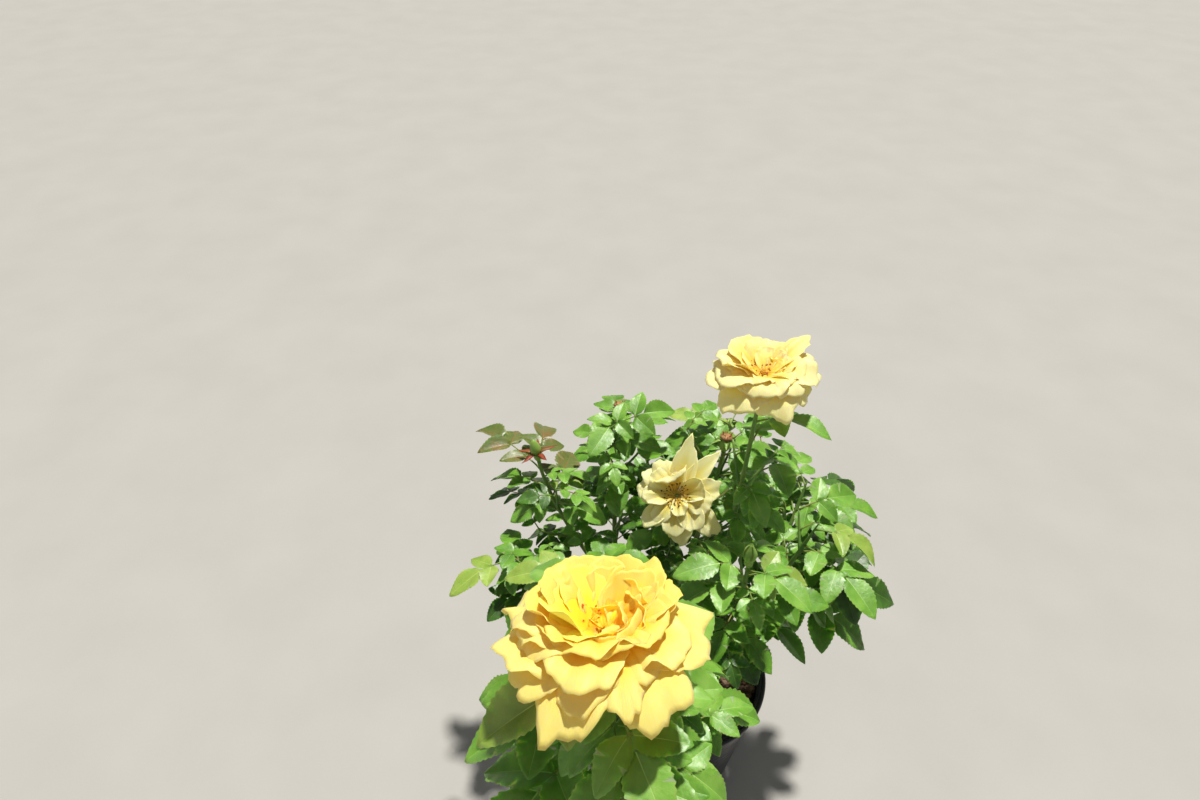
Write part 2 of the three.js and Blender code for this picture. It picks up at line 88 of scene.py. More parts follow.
print("packed nodes:", len(frame["nodes"]), "box:", cad_box)

# %% [markdown]
# ## The camera
# The photograph looks down on the open blooms from above the front of the pot. The camera stands
# at that place with a wide lens, before anything else is made, so each later piece can be judged
# in the right view.

# %% Camera
CAMERA_PLACE = (-0.1008, -0.5857, 1.135)
CAMERA_DOWN = 39  # degrees below level


def linked(name, data):
    """A new object with this data, in the scene."""
    made = bpy.data.objects.new(name, data)
    bpy.context.scene.collection.objects.link(made)
    return made


camera_data = bpy.data.cameras.new("camera")
camera_data.lens = 24
camera_data.sensor_width = 36
camera_data.clip_start = 0.01
camera = linked("camera", camera_data)
camera.location = CAMERA_PLACE
camera.rotation_euler = (math.radians(90 - CAMERA_DOWN), 0, 0)
bpy.context.scene.camera = camera
bpy.context.scene.view_settings.view_transform = "Standard"
print("camera at", CAMERA_PLACE)

# %% [markdown]
# ## Floor and light
# A plain pale floor carries the pot. A sun shines from high behind the plant, as in the photograph,
# so petals and leaf edges glow and shadows fall towards the viewer. A large square lamp in front and
# a pale sky fill the shadows softly.


# %% Lamps and sky
SUN = {"way": (0.2, 0.38, 1.3), "power": 4.6, "softness": 3, "tint": (1.0, 0.97, 0.90)}
FILL = {"place": (-0.9, -1.8, 2.0), "target": (-0.02, 0.0, 0.4), "size": 2.2, "power": 5}
FILL["tint"] = (1.0, 0.99, 0.95)
SKY_TINT = (0.97, 0.98, 1.0, 1)
SKY_STRENGTH = 0.19


def colour(code):
    """A colour such as "#4c7f33" as the linear values that a shader takes."""
    parts = [int(code[i : i + 2], 16) / 255 for i in (1, 3, 5)]
    return (*[p / 12.92 if p < 0.04045 else ((p + 0.055) / 1.055) ** 2.4 for p in parts], 1)


def lamp(name, place, target, size, power, tint):
    """A square lamp that points at a target."""
    data = bpy.data.lights.new(name, "AREA")
    data.size = size
    data.energy = power
    data.color = tint
    made = linked(name, data)
    made.location = place
    away = Vector(place) - Vector(target)
    made.rotation_euler = away.to_track_quat("Z", "Y").to_euler()


def sun_lamp(name, way, power, softness, tint):
    """A far lamp whose light comes from this way and casts a soft shadow."""
    data = bpy.data.lights.new(name, "SUN")
    data.energy = power
    data.angle = math.radians(softness)
    data.color = tint
    linked(name, data).rotation_euler = Vector(way).to_track_quat("Z", "Y").to_euler()


sun_lamp("key_lamp", **SUN)
lamp("fill_lamp", **FILL)
sky = bpy.data.worlds.new("sky")
sky.use_nodes = True
sky.node_tree.nodes["Background"].inputs["Color"].default_value = SKY_TINT
sky.node_tree.nodes["Background"].inputs["Strength"].default_value = SKY_STRENGTH
bpy.context.scene.world = sky
print("sun power:", SUN["power"], "sky strength:", SKY_STRENGTH)

# %% [markdown]
# ## Finishes
# Nearly every surface of the plant is mottled: two tones that run into each other, a finer grain
# in the gloss, and a shallow relief. One helper builds such a finish from noise on Object
# coordinates. Noise keeps its size in metres on every piece, which a picture would not.


# %% A mottled finish, and the floor
NOISE_LOW, NOISE_HIGH = 0.3, 0.7  # nearly all of a noise lies between these
TONES_START, TONES_SPAN = 0.32, 0.36  # where a mottled finish's first tone is, and how far on its last
FLOOR_HALF = 9.0


def finish_of(name, roughness=0.5):
    """A new material with its nodes, and its one shader."""
    made = bpy.data.materials.new(name)
    made.use_nodes = True
    nodes = made.node_tree.nodes
    shader = nodes["Principled BSDF"]
    shader.inputs["Roughness"].default_value = roughness
    return made, nodes, made.node_tree.links, shader


def add_node(nodes, kind, **values):
    """A node of this kind with its properties or unlinked inputs set by name."""
    made = nodes.new(kind)
    for key, value in values.items():
        if key in made.inputs:
            made.inputs[key].default_value = value
        else:
            setattr(made, key, value)
    return made


def grain(nodes, links, scale, detail=3.0, stretch=(1, 1, 1), source="Object"):
    """Noise on the piece's own coordinates, stretched along its axes."""
    place = nodes.new("ShaderNodeTexCoord")
    mapping = nodes.new("ShaderNodeMapping")
    mapping.inputs["Scale"].default_value = stretch
    links.new(place.outputs[source], mapping.inputs["Vector"])
    texture = add_node(nodes, "ShaderNodeTexNoise", Scale=scale, Detail=detail)
    links.new(mapping.outputs["Vector"], texture.inputs["Vector"])
    return texture.outputs["Fac"]


def ramp(nodes, links, value, stops):
    """A value turned into a colour by stops of (position, colour code)."""
    made = nodes.new("ShaderNodeValToRGB")
    links.new(value, made.inputs["Fac"])
    elements = made.color_ramp.elements
    while len(elements) < len(stops):
        elements.new(0.5)
    for element, (position, code) in zip(elements, stops):
        element.position = position
        element.color = colour(code)
    return made.outputs["Color"]


def spread(nodes, links, value, low, high):
    """A value from 0 to 1 as one from low to high."""
    made = nodes.new("ShaderNodeMapRange")
    links.new(value, made.inputs["Value"])
    made.inputs["From Min"].default_value = NOISE_LOW
    made.inputs["From Max"].default_value = NOISE_HIGH
    made.inputs["To Min"].default_value = low
    made.inputs["To Max"].default_value = high
    return made.outputs["Result"]


def relief(nodes, links, shader, height, depth):
    """A shallow relief on the shader from a height from 0 to 1."""
    bump = add_node(nodes, "ShaderNodeBump", Distance=depth, Strength=1.0)
    links.new(height, bump.inputs["Height"])
    links.new(bump.outputs["Normal"], shader.inputs["Normal"])


def mottled(name, tones, scale, gloss, fine=900, depth=0.0002, stretch=(1, 1, 1)):
    """A finish that runs through a few tones, with a gloss between two values and a fine relief."""
    made, nodes, links, shader = finish_of(name)
    broad = grain(nodes, links, scale, 4.0, stretch)
    last = len(tones) - 1
    stops = [(TONES_START + TONES_SPAN * i / last, tone) for i, tone in enumerate(tones)]
    links.new(ramp(nodes, links, broad, stops), shader.inputs["Base Color"])
    small = grain(nodes, links, fine, 2.0, stretch)
    links.new(spread(nodes, links, small, *gloss), shader.inputs["Roughness"])
    relief(nodes, links, shader, small, depth)
    return made


def tune(made, **values):
    """Sets plain values on a finish's shader, such as its sheen."""
    shader = made.node_tree.nodes["Principled BSDF"]
    for key, value in values.items():
        shader.inputs[key.replace("_", " ")].default_value = value
    return made


floor_finish = mottled("floor_finish", ["#a9a7a3", "#adaba7"], 6, (0.8, 0.9), 300, 0.0001)
floor_mesh = bpy.data.meshes.new("floor")
corners = [(x * FLOOR_HALF, y * FLOOR_HALF, 0) for x, y in ((-1, -1), (1, -1), (1, 1), (-1, 1))]
floor_mesh.from_pydata(corners, [], [(0, 1, 2, 3)])
floor_mesh.materials.append(floor_finish)
floor = linked("floor", floor_mesh)
floor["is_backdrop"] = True
print("floor laid")

# %% [markdown]
# ## The same growth rule
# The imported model's plant grew by a rule: curved shoots, leaves a golden turn apart, and a leaf
# skipped where it would touch its neighbours. The rule is written again here in millimetres with
# the same fixed seeds, so nearly the same leaves come out. The last two openings are not in the
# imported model: they let the sun reach the ageing bloom, and leaves near them are moved or missing.
# Arrays do the distance work, because one leaf is tested against every chord of every stem at once.

# %% Named sizes in millimetres
UP = np.array((0.0, 0.0, 1.0))
GOLDEN_TURN = 2.39996
POT = {
    "height": 215,
    "rim_radius": 112.5,
    "collar_radius": 108,
    "collar_foot": 186,
    "wall_top": 104.5,
    "base_radius": 80,
    "wall": 2.2,
    "floor": 3,
    "drains": 5,
    "drain_radius": 6.5,
}
SOIL_TOP = 183
CROWN = {"height": 34, "flare": 20, "knob": 16.5}
TWIG = {"length": 68, "lean": 48, "leaves": 3, "last_leaf": 0.92, "turns": (0, 1.2, -1.2, 2.4)}
LEAF_STALK = 24
PAIR_REACH = (28, 58)
END_REACH = (42, 72)
LEAFLET_LENGTH = (38, 46, 54)
LEAFLET = {"width": 0.62, "fold": 0.2, "arch": 0.16, "sunk": 0.2}
NODE_SPACE = 31
LIMB_GAP = 7
OPENINGS = [
    ((120, -150, 400), 80),
    ((70, -250, 440), 50),
    ((40, -225, 400), 42),
    ((22, -300, 555), 42),
    ((0, -330, 630), 34),
    ((-17, 20, 516), 50),
    ((-22, -21, 559), 52),
    ((-2, 79, 528), 40),
    ((8, 104, 580), 40),
]
SKIRT = {"foot": 235, "inner": 60, "slope": 0.6}
HEART = 7
BLOOM_SPACE = {"full": 70, "faded": 54, "raised": 16, "depth": 0.62}
TESTED_REACH = 150  # how far off other leaves are looked for
CHORDS = 8  # to each shoot
print("pot height and rim radius:", POT["height"], POT["rim_radius"], "openings:", len(OPENINGS))

# %% Shoots: name, tip, end, parent and share up it, bare, spread, lean, turn, leaf size
SHOOTS = [
    ("front", "bloom", (-99, -296, 700), None, 0, 0.44, 0.75, 0.1, 35, 1.12),
    ("top", "bloom", (58, 32, 652), None, 0, 0.42, 0.3, 0.05, -160, 1),
    ("faded", "bloom", (-12, 62, 463), None, 0, 0.45, 0.2, -0.3, 170, 1),
    ("young", "bud", (-176, 120, 474), None, 0, 0.42, 0.7, 0.2, 20, 0.95),
    ("right", "leaf", (138, 6, 486), None, 0, 0.42, 0.7, 0.3, -30, 1),
    ("back", "leaf", (66, 196, 470), None, 0, 0.42, 0.6, 0.3, 60, 1),
    ("left", "leaf", (-128, -34, 462), "front", 0.3, 0.3, 0.9, 0.3, 200, 1),
    ("mid", "bud", (44, -80, 520), "top", 0.2, 0.34, 0.9, 0, -40, 1),
    ("heart", "spent", (44, 104, 505), "faded", 0.3, 0.34, 0.6, 0.2, 90, 1),
    ("rear", "spent", (-76, 168, 500), "young", 0.26, 0.34, 0.7, 0.2, 100, 1),
    ("wing", "leaf", (158, 126, 430), "right", 0.3, 0.34, 0.9, 0.5, 20, 1),
    ("side", "leaf", (-214, 34, 400), "young", 0.22, 0.34, 1.1, 0.6, 190, 1),
    ("tail", "bud", (-40, 252, 380), "back", 0.24, 0.38, 1.2, 0.7, 100, 1),
]
print("shoots from the crown:", sum(row[3] is None for row in SHOOTS), "of", len(SHOOTS))


# %% Small vector helpers and the fixed rows of draws
def unit(way):
    return way / np.linalg.norm(way)


def about(way, axis, angle):
    """A direction turned about a unit axis."""
    cos, sin = math.cos(angle), math.sin(angle)
    return way * cos + np.cross(axis, way) * sin + axis * (axis @ way) * (1 - cos)


def mix(low, high, share):
    return low + (high - low) * share


def draws(seed):
    """The same row of draws from 0 to 1 each time, from one seed."""
    word = 0xFFFFFFFF
    state = seed & word

    def draw():
        nonlocal state
        state = (state + 0x6D2B79F5) & word
        t = ((state ^ (state >> 15)) * (1 | state)) & word
        t = ((t + (((t ^ (t >> 7)) * (61 | t)) & word)) & word) ^ t
        return ((t ^ (t >> 14)) & word) / 4294967296

    return draw


class Curve:
    """A Bezier curve through its control points."""

    def __init__(self, *points):
        self.points = [np.array(p, float) for p in points]

    def at(self, t):
        row = self.points
        while len(row) > 1:
            row = [(1 - t) * a + t * b for a, b in zip(row, row[1:])]
        return row[0]

    def way(self, t):
        low, high = max(t - 1e-4, 0), min(t + 1e-4, 1)
        return unit(self.at(high) - self.at(low))

    def length(self):
        row = np.array([self.at(i / 200) for i in range(201)])
        return float(np.linalg.norm(np.diff(row, axis=0), axis=1).sum())


print("a draw:", round(draws(1)(), 3), "length of a straight curve:", Curve((0, 0, 0), UP).length())


# %% Curves of the shoots
class Shoot:
    """One shoot with its curve, from the crown or from its parent to its tip."""

    def __init__(self, row, grown):
        self.name, self.tip, end, parent, at, self.bare = row[:6]
        spread_out, lean, self.turn, self.leaf = row[6:]
        self.end = np.array(end, float)
        self.parent = grown.get(parent)
        heading = self.end * (1, 1, 0)
        start = np.array((0, 0, SOIL_TOP + CROWN["height"] * 0.5))
        leaving = UP
        if self.parent:
            start = self.parent.curve.at(at)
            heading = heading - start * (1, 1, 0)
            leaving = self.parent.curve.way(at)
        heading = unit(heading)
        if not self.parent:
            start = start + heading * CROWN["knob"] * 0.45
        leaving = unit(leaving + heading * spread_out)
        arriving = unit(UP + heading * lean)
        reach = np.linalg.norm(self.end - start)
        near = start + leaving * 0.36 * reach
        far = self.end - arriving * 0.34 * reach
        self.curve = Curve(start, near, far, self.end)
        self.length = self.curve.length()


shoots = {}
for row in SHOOTS:
    shoots[row[0]] = Shoot(row, shoots)
shoot_list = list(shoots.values())
print("shoots:", {s.name: round(s.length) for s in shoot_list})

# %% Blooms: the axis that each faces along, its scale and its kind
BLOOMS = {
    "front": ((0.04, 0.3, 0.95), 1.0, "full"),
    "top": ((0.02, 0.1, 0.99), 0.88, "full"),
    "faded": ((-0.1, -0.6, 0.8), 1.0, "faded"),
}
print("blooms:", list(BLOOMS))


# %% Where a leaf may grow
def chords_of(curve, low, high):
    row = [curve.at(mix(low, high, i / CHORDS)) for i in range(CHORDS + 1)]
    return np.array([(a, b) for a, b in zip(row, row[1:])])


stem_chords = np.concatenate([chords_of(s.curve, s.bare, 1) for s in shoot_list])
limb_chords = np.concatenate([chords_of(s.curve, 0, s.bare) for s in shoot_list])


def distances(chords, places):
    """From each place to each shoot, by the shoot's chords."""
    start = chords[:, 0]
    run = chords[:, 1] - start
    off = places[:, None] - start
    share = np.clip((off * run).sum(-1) / (run * run).sum(-1), 0, 1)
    apart = np.linalg.norm(off - share[..., None] * run, axis=-1)
    return apart.reshape(len(places), -1, CHORDS).min(-1)


def bloom_spaces():
    rows = []
    for name, (axis, scale, kind) in BLOOMS.items():
        axis = unit(np.array(axis))
        reach = BLOOM_SPACE[kind] * scale
        centre = shoots[name].end + axis * BLOOM_SPACE["raised"]
        rows.append((centre, axis, reach, BLOOM_SPACE["depth"] * reach))
    return rows


BLOOM_SPACES = bloom_spaces()


def allowed(places, owner, cell_gap):
    """Whether all these places are in the owner's space, and clear of limbs, gaps and blooms."""
    out = np.hypot(places[:, 0], places[:, 1])
    floor_line = SKIRT["foot"] + SKIRT["slope"] * np.maximum(0, out - SKIRT["inner"])
    if (places[:, 2] < floor_line).any():
        return False
    for centre, reach in OPENINGS:
        if (np.linalg.norm(places - centre, axis=1) < reach).any():
            return False
    for centre, axis, reach, half_height in BLOOM_SPACES:
        off = places - centre
        rise = off @ axis
        side = np.linalg.norm(off - rise[:, None] * axis, axis=1)
        if ((side / reach) ** 2 + (rise / half_height) ** 2 < 1).any():
            return False
    stems = distances(stem_chords, places)
    own = stems[:, owner]
    others = np.delete(stems, owner, axis=1).min(axis=1)
    if (own < LIMB_GAP).any() or (others < own + cell_gap).any():
        return False
    return not (distances(limb_chords, places) < LIMB_GAP).any()


print("chords of stems:", len(stem_chords), "of limbs:", len(limb_chords))


# %% Leaflets and compound leaves
def outline(a):
    return 0.5 * np.sin(math.pi * np.maximum(a, 0) ** 0.8) ** 0.75


SAMPLES = np.array([(0.3, 0), (0.3, 1), (0.3, -1), (0.66, 0), (0.66, 1), (0.66, -1), (1, 0)])
SAMPLE_ACROSS = SAMPLES[:, 1] * outline(SAMPLES[:, 0]) * LEAFLET["width"]
SAMPLE_RISE = LEAFLET["fold"] * abs(SAMPLE_ACROSS) - LEAFLET["arch"] * SAMPLES[:, 0] ** 2


class Leaflet:
    """A leaflet: where it starts, the ways along it, across it and up from its face, its length."""

    def __init__(self, base, along, normal, length):
        self.base = base
        self.along = unit(along)
        self.normal = unit(normal - self.along * (normal @ self.along))
        self.side = np.cross(self.along, self.normal)
        self.length = length

    def samples(self):
        ways = np.array((self.along, self.side, self.normal))
        flat = np.stack((SAMPLES[:, 0], SAMPLE_ACROSS, SAMPLE_RISE), axis=1)
        return self.base + self.length * flat @ ways


class Leaf:
    """A compound leaf: its leaflets, its stalk's three points, its size and its tested points."""

    def __init__(self, place, stem_way, outwards, size, pairs, draw):
        lift = math.radians(46 + 16 * draw())
        first = unit(stem_way * math.cos(lift) + outwards * math.sin(lift))
        level = unit(first * (1, 1, 0))
        second = first * 0.45 + level * 0.6
        second[2] -= 0.05 + 0.3 * draw()
        second = unit(second)
        roll = math.radians(50 * (draw() - 0.5))
        normal = about(unit(UP - second * second[2]), second, roll)
        side = np.cross(second, normal)
        joint = place + first * LEAF_STALK * size
        self.leaflets = []
        for row in range(pairs):
            for hand in (-1, 1):
                way = second * (0.45 + 0.2 * draw()) + side * hand
                face = normal + side * (0.35 * (draw() - 0.35) * hand)
                joined = joint + second * (PAIR_REACH[row] - LEAF_STALK) * size
                root = joined + side * hand * LEAFLET["sunk"]
                self.leaflets.append(Leaflet(root, way, face, LEAFLET_LENGTH[row] * size))
        way = second + normal * (-0.15 - 0.2 * draw())
        reach = END_REACH[pairs - 1] - LEAF_STALK
        root = joint + second * (reach - LEAFLET["sunk"]) * size
        self.leaflets.append(Leaflet(root, way, normal, LEAFLET_LENGTH[2] * size))
        self.stalk = (place, joint, joint + second * reach * size)
        self.size = size
        self.samples = np.concatenate([one.samples() for one in self.leaflets])


print("points tested on a leaflet:", len(SAMPLES))


# %% Growing: leaves are tried at a few turns and sizes, and the first that has room is kept
placed = np.zeros((0, 3))


def keep_places(*places):
    global placed
    placed = np.concatenate([placed, *[np.reshape(p, (-1, 3)) for p in places]])


def near_to(place, reach):
    """The sample points so far that lie within reach of a place."""
    return placed[np.linalg.norm(placed - place, axis=1) < reach]


def crowded(places, others, gap):
    if not len(others):
        return False
    apart = np.linalg.norm(places[:, None] - others, axis=-1)
    return bool((apart < gap).any())


def outwards_from(stem_way, turn):
    level = unit(np.array((1.0, 0, 0)) - stem_way * stem_way[0])
    return about(level, stem_way, turn)


COARSE = {"gap": 8.5, "cell": 1.0, "sizes": (1, 0.82, 0.66)}
TURNS_TRIED = (0, 0.5, -0.5, 1, -1, 1.6, -1.6)


def place_leaf(place, stem_way, turn, size, pairs, owner, draw, way_of):
    seed = int(draw() * 1e9)
    others = near_to(place, TESTED_REACH * size)
    for shrink in way_of["sizes"]:
        for shift in TURNS_TRIED:
            outwards = outwards_from(stem_way, turn + shift)
            leaf = Leaf(place, stem_way, outwards, size * shrink, pairs, draws(seed))
            if crowded(leaf.samples, others, way_of["gap"]):
                continue
            if not allowed(leaf.samples, owner, way_of["cell"]):
                continue
            keep_places(leaf.samples, leaf.stalk[1], leaf.stalk[2])
            return leaf
    return None


class Twig:
    """A side twig: its curve, and the share of it up to its last leaf."""

    def __init__(self, curve, share):
        self.curve = curve
        self.share = share


def grow_twig(place, stem_way, turn, owner, draw, way_of):
    """A side twig and its leaves, or nothing where it has no room."""
    lean = math.radians(TWIG["lean"])
    reach = TWIG["length"] * way_of.get("twig", 1) * (0.8 + 0.4 * draw())
    for shift in TWIG["turns"]:
        outwards = outwards_from(stem_way, turn + shift)
        way = stem_way * math.cos(lean) + outwards * math.sin(lean)
        middle = place + way * reach * 0.5
        end = middle + unit(way + UP * 0.35) * reach * 0.5
        curve = Curve(place, middle, end)
        samples = np.array([curve.at(t) for t in (0.4, 0.6, 0.8, 1)])
        if crowded(samples, near_to(place, TESTED_REACH), way_of["gap"]):
            continue
        if not allowed(samples, owner, way_of["cell"]):
            continue
        keep_places(samples)
        leaves = []
        share = 0
        count = TWIG["leaves"]
        for i in range(count, 0, -1):
            t = i / count
            size = mix(0.95, 0.75, t) * way_of.get("leaf", 1)
            pairs = 2 if i == count else 1
            along = t * TWIG["last_leaf"]
            at, way = curve.at(along), curve.way(along)
            leaf = place_leaf(at, way, turn + i * GOLDEN_TURN, size, pairs, owner, draw, way_of)
            if leaf:
                leaves.append(leaf)
                share = max(share, along)
        return Twig(curve, share), leaves
    return None


print("tries for a leaf:", len(COARSE["sizes"]) * len(TURNS_TRIED))


# %% The first round of leaves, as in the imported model
class Mass:
    """The leaves and side twigs of one shoot."""

    def __init__(self, shoot):
        self.shoot = shoot
        self.leaves = []
        self.twigs = []

    def add(self, leaf, height):
        leaf.height = height
        leaf.mass = self.shoot.name
        self.leaves.append(leaf)


def grow_mass(mass, owner):
    shoot = mass.shoot
    draw = draws(owner * 7919 + 11)
    count = int(shoot.length * (1 - shoot.bare) // NODE_SPACE)
    for i in range(count, 0, -1):
        t = mix(shoot.bare, 1, (i - 0.35) / count)
        place, way = shoot.curve.at(t), shoot.curve.way(t)
        turn = math.radians(shoot.turn) + (count - i) * GOLDEN_TURN
        size = shoot.leaf * mix(1.05, 0.85, (i / count) ** 3) * (0.9 + 0.2 * draw())
        if i % 3 == 1 and i < count:
            grown = grow_twig(place, way, turn, owner, draw, COARSE)
            if grown:
                mass.twigs.append(grown[0])
                for leaf in grown[1]:
                    mass.add(leaf, t)
                continue
        pairs = 1 if i > count - 2 else 2
        leaf = place_leaf(place, way, turn, size, pairs, owner, draw, COARSE)
        if leaf:
            mass.add(leaf, t)


masses = [Mass(shoot) for shoot in shoot_list]
for owner, mass in enumerate(masses):
    grow_mass(mass, owner)
for mass in masses:
    leaflets = sum(len(leaf.leaflets) for leaf in mass.leaves)
    print(mass.shoot.name, "leaves", len(mass.leaves), "leaflets", leaflets)

# %% [markdown]
# ## Finer rounds
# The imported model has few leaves, as each costs faces. The real bush is fuller, so the same rule
# runs three times more at nodes in between, with smaller leaves, a closer spacing and short twigs
# lower down. It keeps out of the same openings, so the crown's outline hardly changes.

# %% The finer rounds of leaves
FINE = {"gap": 6.0, "cell": -14.0, "sizes": (1, 0.85, 0.7, 0.55), "twig": 0.8, "leaf": 0.85}
FINE_SPACE = 21
BARE_ABOVE = {"top": 0.72}  # the open stem under a bloom
# Each round's name, seed, shift between nodes, and size of leaf.
ROUNDS = [("second", 4001, 0.5, 0.95), ("third", 9001, 0.0, 0.8), ("fourth", 15013, 0.25, 0.75)]


def thicken(mass, owner, seed, offset, leaf_size):
    shoot = mass.shoot
    draw = draws(owner * 7919 + seed)
    low = mix(shoot.bare, 0, 0.25)
    count = int(shoot.length * (1 - low) // FINE_SPACE)
    for i in range(count, 0, -1):
        t = mix(low, 1, (i - 0.35 - offset) / count)
        if t > BARE_ABOVE.get(shoot.name, 1):
            continue
        place, way = shoot.curve.at(t), shoot.curve.way(t)
        turn = math.radians(shoot.turn + 90) + (count - i) * GOLDEN_TURN
        size = shoot.leaf * leaf_size * (0.85 + 0.3 * draw())
        if i % 2 == 0 and i < count - 2:
            grown = grow_twig(place, way, turn, owner, draw, FINE)
            if grown and grown[1]:
                mass.twigs.append(grown[0])
                for leaf in grown[1]:
                    mass.add(leaf, t)
                continue
        pairs = 1 if draw() < 0.3 else 2
        leaf = place_leaf(place, way, turn, size, pairs, owner, draw, FINE)
        if leaf:
            mass.add(leaf, t)


for name, seed, offset, leaf_size in ROUNDS:
    for owner, mass in enumerate(masses):
        thicken(mass, owner, seed, offset, leaf_size)
    print(name, "round:", sum(len(mass.leaves) for mass in masses), "leaves")

# %% [markdown]
# ## Joining many small shapes
# Stalks, stems and petals are many small shapes of one kind. A pile collects their points and
# faces, in millimetres, and makes one mesh in metres at the end. Each shape brings its own finish
# number, and the pile keeps it face by face.


# %% A pile of shapes
MM = 0.001


def smooth(mesh):
    mesh.polygons.foreach_set("use_smooth", [True] * len(mesh.polygons))


def welded(mesh):
    """The mesh with the points that coincide joined, and its faces turned outwards."""
    joined = bmesh.new()
    joined.from_mesh(mesh)
    bmesh.ops.remove_doubles(joined, verts=joined.verts, dist=1e-5)
    bmesh.ops.recalc_face_normals(joined, faces=joined.faces)
    joined.to_mesh(mesh)
    joined.free()
    return mesh


class Pile:
    """Points and faces of many small shapes that become one mesh."""

    def __init__(self):
        self.points = []
        self.faces = []
        self.parts = []
        self.marks = []
        self.count = 0

    def add(self, points, faces, part=0, marks=None):
        points = np.asarray(points, float)
        self.points.append(points)
        self.faces.extend([tuple(self.count + i for i in face) for face in faces])
        self.parts.extend([part] * len(faces))
        self.marks.append(np.zeros((len(points), 2)) if marks is None else np.asarray(marks))
        self.count += len(points)

    def make(self, name, finishes, uv=False):
        mesh = bpy.data.meshes.new(name)
        mesh.from_pydata((np.concatenate(self.points) * MM).tolist(), [], self.faces)
        for finish in finishes:
            mesh.materials.append(finish)
        mesh.polygons.foreach_set("material_index", self.parts)
        smooth(mesh)
        if uv:
            corner = np.zeros(len(mesh.loops), np.int32)
            mesh.loops.foreach_get("vertex_index", corner)
            layer = mesh.uv_layers.new(name="petal")
            layer.data.foreach_set("uv", np.concatenate(self.marks)[corner].ravel())
        print(name, "faces:", len(self.faces))
        return linked(name, mesh)


# %% Tubes along a path, and shapes turned about an axis
def square_to(way, limit=0.9):
    """A way square to this one. limit: how near it may be to the Y axis before another helper is used."""
    return np.cross(way, (0.3, 1, 0.2) if abs(way[1]) < limit else (1, 0.2, 0.3))


def round_angles(sides):
    return [2 * math.pi * k / sides for k in range(sides)]


def ring_walls(rings, sides):
    """The faces between rings of points that follow one another."""
    faces = []
    for i in range(rings - 1):
        for k in range(sides):
            a, b = i * sides + k, i * sides + (k + 1) % sides
            faces.append((a, b, b + sides, a + sides))
    return faces


def ring_caps(rings, sides):
    """The two faces that close a stack of rings."""
    last = (rings - 1) * sides
    return [tuple(reversed(range(sides))), tuple(range(last, last + sides))]


def frames_along(path):
    """Two ways across the path at each point, carried along without a twist."""
    path = np.asarray(path, float)
    ways = np.gradient(path, axis=0)
    ways /= np.linalg.norm(ways, axis=1)[:, None]
    across = square_to(ways[0], 0.8)
    rows = []
    for way in ways:
        across = unit(across - way * (across @ way))
        rows.append((across, np.cross(way, across)))
    return rows


def tube(path, radii, sides, surface=None):
    """Points and faces of a closed tube. surface: a factor on the radius by row and angle."""
    path = np.asarray(path, float)
    points = []
    for i, (across, third) in enumerate(frames_along(path)):
        for angle in round_angles(sides):
            way = across * math.cos(angle) + third * math.sin(angle)
            factor = surface(i, angle) if surface else 1
            points.append(path[i] + way * radii[i] * factor)
    return points, ring_walls(len(path), sides) + ring_caps(len(path), sides)


def turned_shape(profile, sides, place, axis, wobble=None):
    """A closed profile of (radius, height) turned about an axis that starts at place."""
    axis = unit(np.asarray(axis, float))
    across = unit(square_to(axis))
    third = np.cross(axis, across)
    points = []
    for radius, height in profile:
        for angle in round_angles(sides):
            r = radius * (wobble(angle, height) if wobble else 1)
            out = across * r * math.cos(angle)
            points.append(place + out + third * r * math.sin(angle) + axis * height)
    return points, ring_walls(len(profile), sides) + ring_caps(len(profile), sides)


print("faces of a six-sided bar:", len(tube([(0, 0, 0), (0, 0, 1)], (1, 1), 6)[1]))


# %% [markdown]
# ## Leaflets
# A rose leaflet is an oval with a toothed edge, a pale midrib, and side veins that sink into the
# blade. Each is a thin closed shape of some 150 faces: two sheets that meet along the teeth. A
# few shapes, flat, folded, curled and waved, are made once. Geometry Nodes then sets a copy at
# each leaflet's place, picks its shape, turns it and scales it.


# %% The shapes of a leaflet
# Heights and shares are of a leaflet one unit long.
LEAFLET_ROWS = 10
RIB_HALF = 0.008
RIB_RISE = 0.003
VEIN_RISES = (0.003, 0.024)  # by turns, so the side veins lie in furrows
VEIN_SWEEP = 0.10
NOTCH, TOOTH, TOOTH_PLACE = 0.97, 1.06, 0.62
BELLY = 0.016  # how deep the underside hangs under the blade
BLADE, RIB, UNDERSIDE = 0, 1, 2
LEAFLET_SHAPES = [
    {"fold": 0.20, "arch": 0.16, "wave": 0.010, "twist": 0.00, "width": 0.62},
    {"fold": 0.32, "arch": 0.20, "wave": 0.018, "twist": 0.18, "width": 0.64},
    {"fold": 0.10, "arch": 0.10, "wave": 0.022, "twist": -0.15, "width": 0.66},
    {"fold": 0.55, "arch": 0.24, "wave": 0.012, "twist": 0.10, "width": 0.62},
    {"fold": 0.16, "arch": 0.26, "wave": 0.030, "twist": -0.30, "width": 0.60},
    {"fold": 0.26, "arch": 0.06, "wave": 0.026, "twist": 0.30, "width": 0.68},
]


def leaflet_place(shape, a, b, widen=1.0):
    """A point of the blade for a leaflet one unit long: a along it, b across it."""
    across = b * outline(a) * shape["width"] * widen
    rise = shape["fold"] * abs(across) - shape["arch"] * a * a
    rise += shape["wave"] * math.sin(9 * a + 2.5 * b) * abs(b) ** 1.5
    turn = shape["twist"] * (a - 0.3) * across
    return Vector((a, across, rise + turn))


